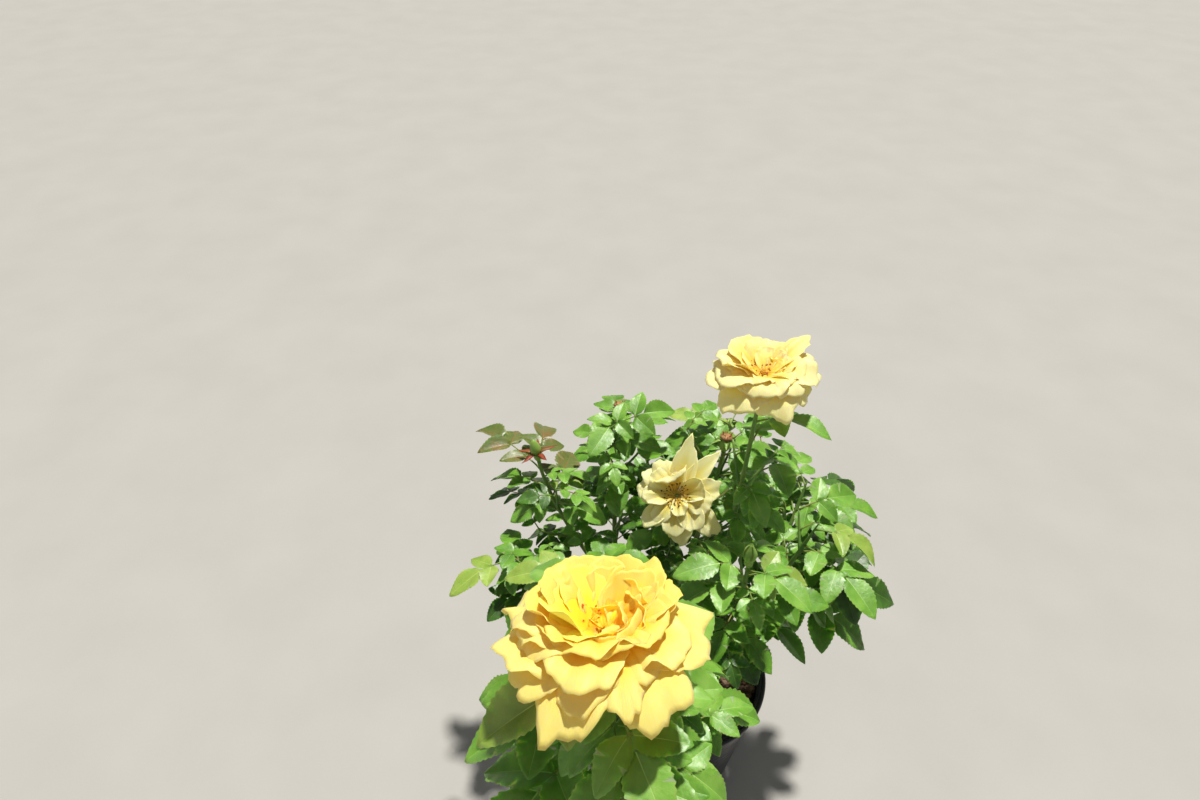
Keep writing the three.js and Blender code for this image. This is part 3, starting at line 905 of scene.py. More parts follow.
def leaflet_mesh(name, shape):
    """A closed leaflet with its blade, rib and underside marked on its faces."""
    steps = [min((k / LEAFLET_ROWS) ** 0.92, 1) for k in range(LEAFLET_ROWS + 1)]
    points = []
    faces = []
    parts = []
    edge = []

    def add(place):
        points.append(place)
        return len(points) - 1

    def row_points(k):
        a = steps[k]
        swept = a + VEIN_SWEEP * (1 - a) * (a > 0)
        made = {}
        for hand in (-1, 1):
            inner = leaflet_place(shape, a, 0)
            inner.y += hand * RIB_HALF * (1.1 - a)
            inner.z += RIB_RISE
            middle = leaflet_place(shape, mix(a, swept, 0.5), hand * 0.5)
            middle.z += VEIN_RISES[k % 2]
            notch = leaflet_place(shape, swept, hand, NOTCH)
            made[hand] = [add(inner), add(middle), add(notch)]
            edge.append(made[hand][2])
            if k < LEAFLET_ROWS:
                later = steps[k + 1] + VEIN_SWEEP * (1 - steps[k + 1])
                tooth = leaflet_place(shape, mix(swept, later, TOOTH_PLACE), hand, TOOTH)
                made[hand].append(add(tooth))
                edge.append(made[hand][3])
        below = leaflet_place(shape, a, 0)
        below.z -= BELLY * math.sin(math.pi * min(a + 0.05, 1)) + 0.002
        made["below"] = add(below)
        return made

    rows = [row_points(k) for k in range(LEAFLET_ROWS + 1)]
    for low, high in zip(rows, rows[1:]):
        faces.append((low[-1][0], high[-1][0], high[1][0], low[1][0]))
        parts.append(RIB)
        for hand in (-1, 1):
            a, b, c, tooth = low[hand]
            d, e, f = high[hand][:3]
            over = [(a, b, e, d), (b, c, tooth), (b, tooth, e), (e, tooth, f)]
            g, h = low["below"], high["below"]
            under = [(g, tooth, c), (g, h, tooth), (h, f, tooth)]
            made = over + under
            faces.extend(made if hand > 0 else [tuple(reversed(face)) for face in made])
            parts.extend([BLADE] * len(over) + [UNDERSIDE] * len(under))
    mesh = bpy.data.meshes.new(name)
    mesh.from_pydata(points, [], [tuple(reversed(face)) for face in faces])
    marks = mesh.attributes.new("part", "INT", "FACE")
    marks.data.foreach_set("value", parts)
    smooth(mesh)
    on_edge = set(edge)
    for line in mesh.edges:
        line.use_edge_sharp = on_edge.issuperset(line.vertices)
    return welded(mesh)


leaflet_shapes = bpy.data.collections.new("leaflet_shapes")
for i, shape in enumerate(LEAFLET_SHAPES):
    mesh = leaflet_mesh(f"leaflet_{i}", shape)
    leaflet_shapes.objects.link(bpy.data.objects.new(f"leaflet_{i}", mesh))
print("faces of a leaflet:", len(mesh.polygons))


# %% A Geometry Nodes tree, and the plain mesh that it gives
def new_tree(name, inputs):
    """A tree with a geometry input and output, and these named inputs."""
    tree = bpy.data.node_groups.new(name, "GeometryNodeTree")
    tree.interface.new_socket("Geometry", in_out="INPUT", socket_type="NodeSocketGeometry")
    for label, kind in inputs:
        tree.interface.new_socket(label, in_out="INPUT", socket_type="NodeSocket" + kind)
    tree.interface.new_socket("Geometry", in_out="OUTPUT", socket_type="NodeSocketGeometry")
    return tree, tree.nodes.new("NodeGroupInput"), tree.nodes.new("NodeGroupOutput")


def attribute(tree, name, kind):
    made = tree.nodes.new("GeometryNodeInputNamedAttribute")
    made.data_type = kind
    made.inputs["Name"].default_value = name
    return made.outputs["Attribute"]


def made_real(tree, setting):
    real = tree.nodes.new("GeometryNodeRealizeInstances")
    tree.links.new(setting.outputs["Instances"], real.inputs["Geometry"])
    return real.outputs["Geometry"]


def set_copies(tree, start, shape, pick=None):
    """Copies of a shape on the carrier's points, turned and scaled by its attributes, made real."""
    link = tree.links.new
    turn = tree.nodes.new("FunctionNodeEulerToRotation")
    link(attribute(tree, "way", "FLOAT_VECTOR"), turn.inputs[0])
    setting = tree.nodes.new("GeometryNodeInstanceOnPoints")
    link(start.outputs["Geometry"], setting.inputs["Points"])
    link(shape, setting.inputs["Instance"])
    if pick:
        setting.inputs["Pick Instance"].default_value = True
        link(attribute(tree, pick, "INT"), setting.inputs["Instance Index"])
    link(turn.outputs[0], setting.inputs["Rotation"])
    link(attribute(tree, "size", "FLOAT"), setting.inputs["Scale"])
    return made_real(tree, setting)


def paint_parts(tree, start, last, labels):
    """Each part gets the material of its label, by the number that its faces carry."""
    link = tree.links.new
    for part, label in enumerate(labels):
        same = tree.nodes.new("FunctionNodeCompare")
        same.data_type = "INT"
        same.operation = "EQUAL"
        link(attribute(tree, "part", "INT"), same.inputs[2])
        same.inputs[3].default_value = part
        paint = tree.nodes.new("GeometryNodeSetMaterial")
        link(last, paint.inputs["Geometry"])
        link(same.outputs[0], paint.inputs["Selection"])
        link(start.outputs[label], paint.inputs["Material"])
        last = paint.outputs["Geometry"]
    return last


def settled(carrier, name):
    """A carrier's evaluated mesh as a new plain object, with the carrier removed."""
    depsgraph = bpy.context.evaluated_depsgraph_get()
    mesh = bpy.data.meshes.new_from_object(carrier.evaluated_get(depsgraph), depsgraph=depsgraph)
    bpy.data.objects.remove(carrier)
    mesh.name = name
    print(name, "triangles:", sum(len(p.vertices) - 2 for p in mesh.polygons))
    return linked(name, mesh)


def grown_by(tree, carrier, values, name):
    """Runs a tree on a carrier, with its inputs set by their identifiers."""
    modifier = carrier.modifiers.new(tree.name, "NODES")
    modifier.node_group = tree
    for item in tree.interface.items_tree:
        if item.name in values:
            modifier[item.identifier] = values[item.name]
    return settled(carrier, name)


def carrier_of(name, points, attributes=()):
    """Loose points, in metres, with attributes for a tree to read."""
    mesh = bpy.data.meshes.new(name)
    mesh.from_pydata([tuple(p) for p in points], [], [])
    for label, kind, field, values in attributes:
        made = mesh.attributes.new(label, kind, "POINT")
        made.data.foreach_set(field, np.asarray(values).ravel())
    return linked(name, mesh)


# %% The tree that sets the leaflets
def leaflet_tree():
    """Picks a shape for each leaflet from a collection, and paints its three parts."""
    labels = ("Blade", "Rib", "Underside")
    inputs = [("Shapes", "Collection")] + [(label, "Material") for label in labels]
    tree, start, end = new_tree("set_leaflets", inputs)
    shapes = tree.nodes.new("GeometryNodeCollectionInfo")
    shapes.inputs["Separate Children"].default_value = True
    shapes.inputs["Reset Children"].default_value = True
    tree.links.new(start.outputs["Shapes"], shapes.inputs["Collection"])
    real = set_copies(tree, start, shapes.outputs[0], "shape")
    tree.links.new(paint_parts(tree, start, real, labels), end.inputs["Geometry"])
    return tree


set_leaflets = leaflet_tree()
print("nodes in the leaflets' tree:", len(set_leaflets.nodes))

# %% [markdown]
# ## The colours of the leaves
# Age changes a rose leaf: the newest are yellow-green, and one young shoot is bronze with red ribs.
# The rest go by height: low sprays are deep green as painted shade, high ones a brighter green as
# painted sun, and a mid green lies between. Each spray gets one of these as a plain base colour with a little
# mottling.


# %% Leaf finishes
LEAF_LIGHT = {
    "Subsurface_Weight": 0.4,
    "Subsurface_Radius": (0.4, 1.0, 0.1),
    "Subsurface_Scale": 0.0014,
}


def leaf_finishes(name, tones, rib, underside):
    """A waxed, slightly clear blade with its rib and its dull underside."""
    blade = mottled(name + "_blade", tones, 45, (0.36, 0.5), 260, 0.0004)
    tune(blade, Specular_IOR_Level=0.5, Coat_Weight=0.15, Coat_Roughness=0.36, **LEAF_LIGHT)
    vein = mottled(name + "_rib", rib, 40, (0.4, 0.55), 500, 0.0001)
    below = mottled(name + "_underside", underside, 30, (0.6, 0.75), 600, 0.0002)
    tune(below, **LEAF_LIGHT)
    return {"Blade": blade, "Rib": vein, "Underside": below}


# deep, mid and bright: one green in painted shade, half light and painted sun; lime and bronze: the young
# leaves' own colours
LEAF_TONES = {
    "deep": (["#2e5014", "#3c6418", "#4d7a20"], ["#5c8432", "#6a903c"], ["#5f7f46", "#6b8b50"]),
    "mid": (["#4e7e20", "#62942a", "#76a836"], ["#7aa244", "#88ae50"], ["#729256", "#809f62"]),
    "bright": (["#5f902c", "#73a43a", "#88b44c"], ["#96bc60", "#a4c86e"], ["#84a464", "#92b072"]),
    "lime": (["#7c9a38", "#90ac48", "#a4bc58"], ["#acc068", "#bccc78"], ["#96ac62", "#a4b870"]),
    "bronze": (["#586e2c", "#687236", "#806a3a"], ["#925a34", "#a06840"], ["#7a7648", "#866e4e"]),
}
SHADE_HEIGHT, SUN_SPAN = 300, 250  # a spray's tip in full shade, and how far above it the sun is full
BRIGHT_SUN, MID_SUN = 0.65, 0.25


def tone_of(leaf, draw):
    """Which colour a spray is: by its shoot, its height and a draw; height stands for painted shade low down
    and painted sun high up.
    """
    tip = leaf.stalk[2]
    if leaf.mass == "young" and leaf.height > 0.8 and draw() < 0.75:
        return "bronze"
    sun = (tip[2] - SHADE_HEIGHT) / SUN_SPAN + 0.9 * (draw() - 0.5)
    if leaf.height > 0.85 and draw() < 0.25:
        return "lime"
    if sun > BRIGHT_SUN:
        return "bright"
    return "mid" if sun > MID_SUN else "deep"


def turned_like(one):
    """The turn that lays a flat leaflet's X, Y and Z on its own ways."""
    rows = Matrix((one.along, np.cross(one.normal, one.along), one.normal)).transposed()
    return tuple(rows.to_euler())


sprays = {tone: [] for tone in LEAF_TONES}
tone_draw = draws(77)
for mass in masses:
    for leaf in mass.leaves:
        sprays[tone_of(leaf, tone_draw)].append(leaf)

foliage = []
shape_draw = draws(191)
for tone, leaves in sprays.items():
    ones = [one for leaf in leaves for one in leaf.leaflets]
    if not ones:
        continue
    facts = [
        ("way", "FLOAT_VECTOR", "vector", [turned_like(one) for one in ones]),
        ("size", "FLOAT", "value", [one.length * MM for one in ones]),
        ("shape", "INT", "value", [int(shape_draw() * len(LEAFLET_SHAPES)) for _ in ones]),
    ]
    carrier = carrier_of("leaflet_places", [one.base * MM for one in ones], facts)
    values = {"Shapes": leaflet_shapes, **leaf_finishes("leaf_" + tone, *LEAF_TONES[tone])}
    piece = grown_by(set_leaflets, carrier, values, "foliage_" + tone)
    grew_in = sorted({"leaves_" + leaf.mass for leaf in leaves})
    foliage.append((piece, tone, grew_in))
    print(tone, "leaves", len(leaves), "leaflets", len(ones))
for made in list(leaflet_shapes.objects):
    bpy.data.objects.remove(made)
bpy.data.collections.remove(leaflet_shapes)

# %% [markdown]
# ## Stalks and green stems
# Each leaf hangs on a thin stalk that bends once and carries on between its leaflets. The shoots
# above the bare canes are smooth and green, with a swelling where each leaf leaves them. Both are
# tubes along curves, because a curve gives a stalk its bend for almost no faces.

# %% Stalks, side twigs and green shoots
STALK_SHARES = (0, 0.2, 0.4, 0.6, 0.8, 1)
STALK_RADII = (1.5, 1.0, 0.9, 0.8, 0.7, 0.6)
LEAFLET_STALK_RADII = (0.6, 0.45)
SHOOT_RADII = (3.2, 2.0)
TWIG_RADII = (1.9, 1.3)
stalks = Pile()
for mass in masses:
    for leaf in mass.leaves:
        start, joint, end = leaf.stalk
        bend = Curve(start, joint + (joint - start) * 0.05, end)
        thick = 0.75 + 0.35 * leaf.size
        path = [bend.at(t) for t in STALK_SHARES]
        stalks.add(*tube(path, [thick * f for f in STALK_RADII], 5))
        for one in leaf.leaflets[:-1]:
            ends = [one.base - one.along * 2, one.base + one.along * 2.5]
            stalks.add(*tube(ends, LEAFLET_STALK_RADII, 4))

stems = Pile()
for mass in masses:
    shoot = mass.shoot
    share = np.linspace(shoot.bare - 0.02, 1, 26)
    path = [shoot.curve.at(t) for t in share]
    radii = [mix(*SHOOT_RADII, (t - shoot.bare) / (1 - shoot.bare)) for t in share]
    if shoot.tip == "leaf":
        radii = [r * min(1, 0.3 + 6 * (1 - t)) for r, t in zip(radii, share)]
    stems.add(*tube(path, radii, 10))
    for twig in mass.twigs:
        if twig.share:
            steps = np.linspace(0, 1, 7)
            path = [twig.curve.at(t * twig.share) for t in steps]
            stems.add(*tube(path, [mix(*TWIG_RADII, t) for t in steps], 6))

stalk_finish = mottled("stalk_finish", ["#6f9440", "#7d9a45", "#8c7d3f"], 60, (0.4, 0.55), 600, 0.0001)
stem_finish = mottled("stem_finish", ["#557f34", "#678c3b", "#7c8a41"], 35, (0.38, 0.5), 500, 0.0002)
leaf_stalks = stalks.make("leaf_stalks", [stalk_finish])
green_stems = stems.make("green_stems", [stem_finish])

# %% [markdown]
# ## Bark on the canes and the crown
# Old rose canes are green-brown, with long shallow furrows, rings where leaves have dropped, and
# hooked prickles. The furrows have to show on the outline too, so the tubes get real relief from
# noise that is stretched along the cane. Prickles follow the surface, so Geometry Nodes scatters
# them over the canes and turns each one out of the bark.

# %% Canes and boughs with relief
bark = Pile()


def bark_surface(owner, step, scars):
    """The factor on a cane's radius: furrows along it, and a ring at each old leaf."""

    def lumps(angle, reach, up):
        return noise.noise(Vector((reach * math.cos(angle), reach * math.sin(angle), up)))

    def factor(i, angle):
        along = i * step
        furrow = lumps(angle, 2.2, along * 0.02 + owner * 9)
        knots = lumps(angle, 1.2, along * 0.09 + owner)
        ring = sum(math.exp(-(((along - scar) / 2.2) ** 2)) for scar in scars)
        return 1 + 0.09 * furrow + 0.06 * knots + 0.16 * ring

    return factor


CANE_STEP = 2.5
CANE_RADII = (6.6, 3.3)
BOUGH_RADII = (3.9, 3.15)
SCAR_SPACE = 30
for owner, shoot in enumerate(shoot_list):
    run = shoot.length * shoot.bare
    count = int(run / CANE_STEP) + 2
    share = np.linspace(0, shoot.bare + 0.01, count)
    foot, tip = BOUGH_RADII if shoot.parent else CANE_RADII
    radii = [mix(foot, tip, (t / shoot.bare) ** 0.8) for t in share]
    step = run / count
    scars = np.arange(26 + 5 * (owner % 3), run, SCAR_SPACE)
    path = [shoot.curve.at(t) for t in share]
    bark.add(*tube(path, radii, 14, bark_surface(owner, step, scars)))

# %% The crown, with its knuckles and its root flare
# Shares of the flare's radius and of the crown's height.
CROWN_PROFILE = [(1.0, 0), (0.82, 0.10), (0.66, 0.3), (0.74, 0.5), (0.84, 0.66)]
CROWN_PROFILE += [(0.76, 0.84), (0.48, 1.0), (0.2, 1.05)]
CROWN_SIDES = 40
CROWN_STEPS = 4  # rows from one point of the profile to the next


def crown_wobble(angle, height):
    place = Vector((1.6 * math.cos(angle), 1.6 * math.sin(angle), height * 0.07))
    return 0.97 + 0.16 * noise.noise(place) + 0.05 * noise.noise(place * 4)


crown = Pile()
fine_profile = []
for (r0, z0), (r1, z1) in zip(CROWN_PROFILE, CROWN_PROFILE[1:]):
    shares = [k / CROWN_STEPS for k in range(CROWN_STEPS)]
    fine_profile += [(mix(r0, r1, t), mix(z0, z1, t)) for t in shares]
fine_profile = [(r * CROWN["flare"], z * CROWN["height"]) for r, z in fine_profile]
fine_profile.append((3, CROWN["height"] * 1.04))
crown_foot = np.array((0, 0, SOIL_TOP + 0.3))
crown.add(*turned_shape(fine_profile, CROWN_SIDES, crown_foot, UP, crown_wobble))


BARK_GREENS = (0.2, 0.4)  # metres up: brown below, green above


def bark_finish():
    """Brown at the soil, green higher up, streaked along the cane."""
    made, nodes, links, shader = finish_of("bark_finish", 0.7)
    streaks = grain(nodes, links, 90, 5.0, (1, 1, 0.16))
    place = nodes.new("ShaderNodeTexCoord")
    parts = nodes.new("ShaderNodeSeparateXYZ")
    links.new(place.outputs["Object"], parts.inputs["Vector"])
    height = nodes.new("ShaderNodeMapRange")
    height.inputs["From Min"].default_value = BARK_GREENS[0]
    height.inputs["From Max"].default_value = BARK_GREENS[1]
    links.new(parts.outputs["Z"], height.inputs["Value"])
    old = ramp(nodes, links, streaks, [(0.35, "#4a3c2a"), (0.5, "#6a5738"), (0.65, "#87724e")])
    young = ramp(nodes, links, streaks, [(0.35, "#4d6a2c"), (0.5, "#64803a"), (0.65, "#7f8a4e")])
    blend = nodes.new("ShaderNodeMix")
    blend.data_type = "RGBA"
    links.new(height.outputs["Result"], blend.inputs["Factor"])
    links.new(old, blend.inputs[6])
    links.new(young, blend.inputs[7])
    links.new(blend.outputs[2], shader.inputs["Base Color"])
    links.new(spread(nodes, links, streaks, 0.55, 0.8), shader.inputs["Roughness"])
    relief(nodes, links, shader, streaks, 0.0006)
    return made


bark_look = bark_finish()
canes = bark.make("barked_canes", [bark_look])
crown_piece = crown.make("crown_wood", [bark_look])


# %% Prickles over the canes
PRICKLE_SIDES = 6
PRICKLE_ROWS = [  # height, half width, half length, and how far down it hooks
    (0.0, 0.42, 0.75, 0.0),
    (0.35, 0.20, 0.36, 0.08),
    (0.7, 0.09, 0.14, 0.28),
    (1.0, 0.015, 0.02, 0.6),
]


def prickle_shape():
    """A hooked prickle on a long foot, one unit high, that points down the cane."""
    points = []
    for height, half_width, half_length, hook in PRICKLE_ROWS:
        for angle in round_angles(PRICKLE_SIDES):
            x, y = half_width * math.cos(angle), half_length * math.sin(angle) - hook
            points.append((x, y, height - 0.1))
    rings = (len(PRICKLE_ROWS), PRICKLE_SIDES)
    mesh = bpy.data.meshes.new("prickle")
    mesh.from_pydata(points, [], ring_caps(*rings) + ring_walls(*rings))
    smooth(mesh)
    return bpy.data.objects.new("prickle", mesh)


def scatter_tree(name):
    """Scatters copies of a shape over a surface, each turned out of it, or left to lie loose."""
    inputs = [("Shape", "Object"), ("Density", "Float"), ("Smallest", "Float"), ("Largest", "Float")]
    inputs += [("Apart", "Float"), ("Tumble", "Float"), ("Finish", "Material"), ("Seed", "Int")]
    tree, start, end = new_tree(name, inputs)
    link = tree.links.new
    points = tree.nodes.new("GeometryNodeDistributePointsOnFaces")
    points.distribute_method = "POISSON"
    link(start.outputs["Geometry"], points.inputs["Mesh"])
    link(start.outputs["Apart"], points.inputs["Distance Min"])
    link(start.outputs["Density"], points.inputs["Density Max"])
    link(start.outputs["Seed"], points.inputs["Seed"])
    shape = tree.nodes.new("GeometryNodeObjectInfo")
    link(start.outputs["Shape"], shape.inputs["Object"])
    size = tree.nodes.new("FunctionNodeRandomValue")
    size.data_type = "FLOAT"
    link(start.outputs["Smallest"], size.inputs[2])
    link(start.outputs["Largest"], size.inputs[3])
    link(start.outputs["Seed"], size.inputs["Seed"])
    lean = tree.nodes.new("FunctionNodeRandomValue")
    lean.data_type = "FLOAT_VECTOR"
    backwards = tree.nodes.new("ShaderNodeMath")
    backwards.operation = "MULTIPLY"
    backwards.inputs[1].default_value = -1
    link(start.outputs["Tumble"], backwards.inputs[0])
    link(backwards.outputs[0], lean.inputs[0])
    link(start.outputs["Tumble"], lean.inputs[1])
    link(start.outputs["Seed"], lean.inputs["Seed"])
    turn = tree.nodes.new("FunctionNodeEulerToRotation")
    link(lean.outputs[0], turn.inputs[0])
    both = tree.nodes.new("FunctionNodeRotateRotation")
    both.rotation_space = "LOCAL"
    link(points.outputs["Rotation"], both.inputs[0])
    link(turn.outputs[0], both.inputs[1])
    setting = tree.nodes.new("GeometryNodeInstanceOnPoints")
    link(points.outputs["Points"], setting.inputs["Points"])
    link(shape.outputs["Geometry"], setting.inputs["Instance"])
    link(both.outputs[0], setting.inputs["Rotation"])
    link(size.outputs[1], setting.inputs["Scale"])
    paint = tree.nodes.new("GeometryNodeSetMaterial")
    link(made_real(tree, setting), paint.inputs["Geometry"])
    link(start.outputs["Finish"], paint.inputs["Material"])
    link(paint.outputs["Geometry"], end.inputs["Geometry"])
    return tree


scatter = scatter_tree("scatter_over")


def scattered(surface, shape, name, finish, density, sizes, apart, tumble, seed):
    """Copies of a shape over a surface, which is used up, as one plain piece."""
    values = {
        "Shape": shape, "Density": density, "Smallest": sizes[0], "Largest": sizes[1],
        "Apart": apart, "Tumble": tumble, "Finish": finish, "Seed": seed,
    }
    made = grown_by(scatter, surface, values, name)
    bpy.data.objects.remove(shape)
    return made


prickle_finish = mottled("prickle_finish", ["#7a3f2a", "#96583a", "#a8764e"], 80, (0.4, 0.5), 700, 0.0001)
prickles = scattered(
    linked("prickle_carrier", canes.data.copy()), prickle_shape(), "prickles", prickle_finish,
    density=3500, sizes=(0.0028, 0.0052), apart=0.013, tumble=0.25, seed=3,
)

# %% [markdown]
# ## The blooms
# A petal is a thin curved sheet, narrow at its foot, with a waved edge. Each lies on a bowl round
# the bloom's axis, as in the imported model, and its edge is rolled, cupped and ruffled further. The
# petals that the photograph shows best are set one by one, by their turn round the axis. Light goes
# through a petal. Subsurface scattering carries it through one, and a faint glow in the colour of
# the foot stands for the light that has crossed several.

# %% The surface of a petal
PETAL_ROWS = 14
PETAL_COLUMNS = 38
PETAL_THICK = 0.32
FAN = math.radians(80)  # half of the angle that a petal's grid spans at its foot
POINT_HALF = 0.28  # how wide half of a point on the rim is, as an angle
# Shares of a petal's length: from where it waves and from where it rolls, and how much is left.
WAVES_FROM, WAVES_SPAN = 0.25, 0.75
ROLLS_FROM, ROLLS_SPAN = 0.55, 0.45


def rim_reach(petal, theta):
    """How far a petal's rim is from its foot, by the angle from its middle line."""
    reach = math.cos(theta) ** petal["round"]
    for centre, height in petal.get("points", ()):
        reach += height * max(0, 1 - abs(theta - centre) / POINT_HALF) ** 1.5
    seed = petal["seed"]
    notch = 0.075 * noise.noise(Vector((3.5 * theta, seed, 0)))
    notch += 0.05 * noise.noise(Vector((9 * theta, seed, 5)))
    return reach * (1 + notch + 0.012 * math.sin(21 * theta + 2 * seed))


def petal_place(petal, s, theta):
    """A point of a petal: s from its foot to its rim, theta the angle off its middle line."""
    seed = petal["seed"]
    reach = rim_reach(petal, theta) * s
    widest = math.atan(1 / math.sqrt(petal["round"]))
    half = math.cos(widest) ** petal["round"] * math.sin(widest)
    t = reach * math.cos(theta)
    x = reach * math.sin(theta) * petal["width"] * 0.5 / half
    bend_r, bend_z = petal["bend"]
    tip_r, tip_z = petal["tip"]
    foot = petal["foot"]
    radius = 2 * t * (1 - t) * bend_r + t**2 * tip_r
    height = foot * (1 - t) + 2 * t * (1 - t) * bend_z + t**2 * tip_z
    away = mix(bend_r, tip_r - bend_r, t)
    rise = mix(bend_z - 0.5 * foot, tip_z - bend_z, t)
    slope = math.hypot(away, rise)
    free = max(0, s - WAVES_FROM) / WAVES_SPAN
    wave = math.sin(4.6 * theta + 1.3 * seed) + 0.55 * math.sin(9.5 * theta + 3 * seed + 1.5 * s)
    ruffle = petal["ruffle"] * free**2 * (0.3 + 0.7 * abs(math.sin(theta))) * wave
    swell = 2.6 * free * noise.noise(Vector((0.045 * x + 7 * seed, 2.0 * t, seed)))
    pleat = petal["pleat"] * s * noise.noise(Vector((3.4 * theta, 0.7 * s, 3 * seed)))
    frill = petal["frill"] * free**4 * (math.sin(13 * theta + 4 * seed) + 0.7 * math.sin(21 * theta + seed))
    rolled = (max(0, s - ROLLS_FROM) / ROLLS_SPAN) ** 2
    roll = petal["roll"] * rolled * (0.35 + 0.65 * abs(math.sin(theta)))
    bow = petal["bow"]
    across = math.sin(bow * x) / bow
    cup = (1 - math.cos(bow * x)) / bow
    slip = petal["lift"] * x / petal["width"] * 2 * math.sqrt(t)
    off = slip + ruffle + pleat + frill + swell + cup - roll
    outward = radius + HEART * 0.4 - off * rise / slope
    upward = height + off * away / slope
    turn = math.radians(petal["turn"])
    out, side = (math.cos(turn), math.sin(turn)), (-math.sin(turn), math.cos(turn))
    return (outward * out[0] + across * side[0], outward * out[1] + across * side[1], upward)


def petal_sheet(petal):
    """A petal's grid of points, its faces, and for each point how far across and along it is."""
    points, marks = [], []
    for i in range(PETAL_ROWS + 1):
        s = 0.05 + 0.95 * (i / PETAL_ROWS) ** 0.8
        for k in range(PETAL_COLUMNS + 1):
            theta = FAN * (2 * k / PETAL_COLUMNS - 1)
            points.append(petal_place(petal, s, theta))
            marks.append((0.5 + 0.5 * math.sin(theta), s))
    wide = PETAL_COLUMNS + 1
    faces = []
    for i in range(PETAL_ROWS):
        for k in range(PETAL_COLUMNS):
            a = i * wide + k
            faces.append((a, a + 1, a + wide + 1, a + wide))
    return points, faces, marks


print("faces of a petal:", PETAL_ROWS * PETAL_COLUMNS)


# %% The petals of the blooms, ring by ring from the outside in
# Sizes in mm. foot: the height where a petal starts. bend and tip: the (radius, height) that it turns
# towards and ends at. round: how fast its rim falls back at the sides. points: the (angle, height) of
# points on its rim. ruffle and frill: its broad and fine waves. pleat: its folds. roll: how far its
# rim turns back. bow: how hollow it is across. lift: how far one side lies over its neighbour.
# finish: the number of its material, where it isn't its ring's own; shaded inner petals take 1, leaving the
# lemon inner finish on sunlit ones as painted sunlight.
PLAIN = {"round": 0.75, "ruffle": 1.8, "pleat": 5, "frill": 0.8, "roll": 0, "bow": 0.002, "lift": 2.2}
RINGS = {
    "guard": {
        "foot": 0, "bend": (36, 20), "tip": (66, -8), "width": 70, "lift": 2.6, "roll": 2, "bow": -0.006,
    },
    "outer": {"foot": 3, "bend": (34, 27), "tip": (56, 10), "width": 58, "roll": 1.5, "bow": -0.004},
    "middle": {"foot": 5, "bend": (28, 22), "tip": (46, 32), "width": 54, "bow": 0.020},
    "cup": {"foot": 7, "bend": (24, 16), "tip": (36, 36), "width": 46, "bow": 0.030},
    "inner": {"foot": 8, "bend": (15, 15), "tip": (22, 28), "width": 30, "bow": 0.045, "lift": 1.4},
    "heart": {"foot": 9, "bend": (8, 14), "tip": (13, 24), "width": 18, "bow": 0.07, "lift": 1.0},
}
CALM = {"pleat": 1.5, "ruffle": 1.2}
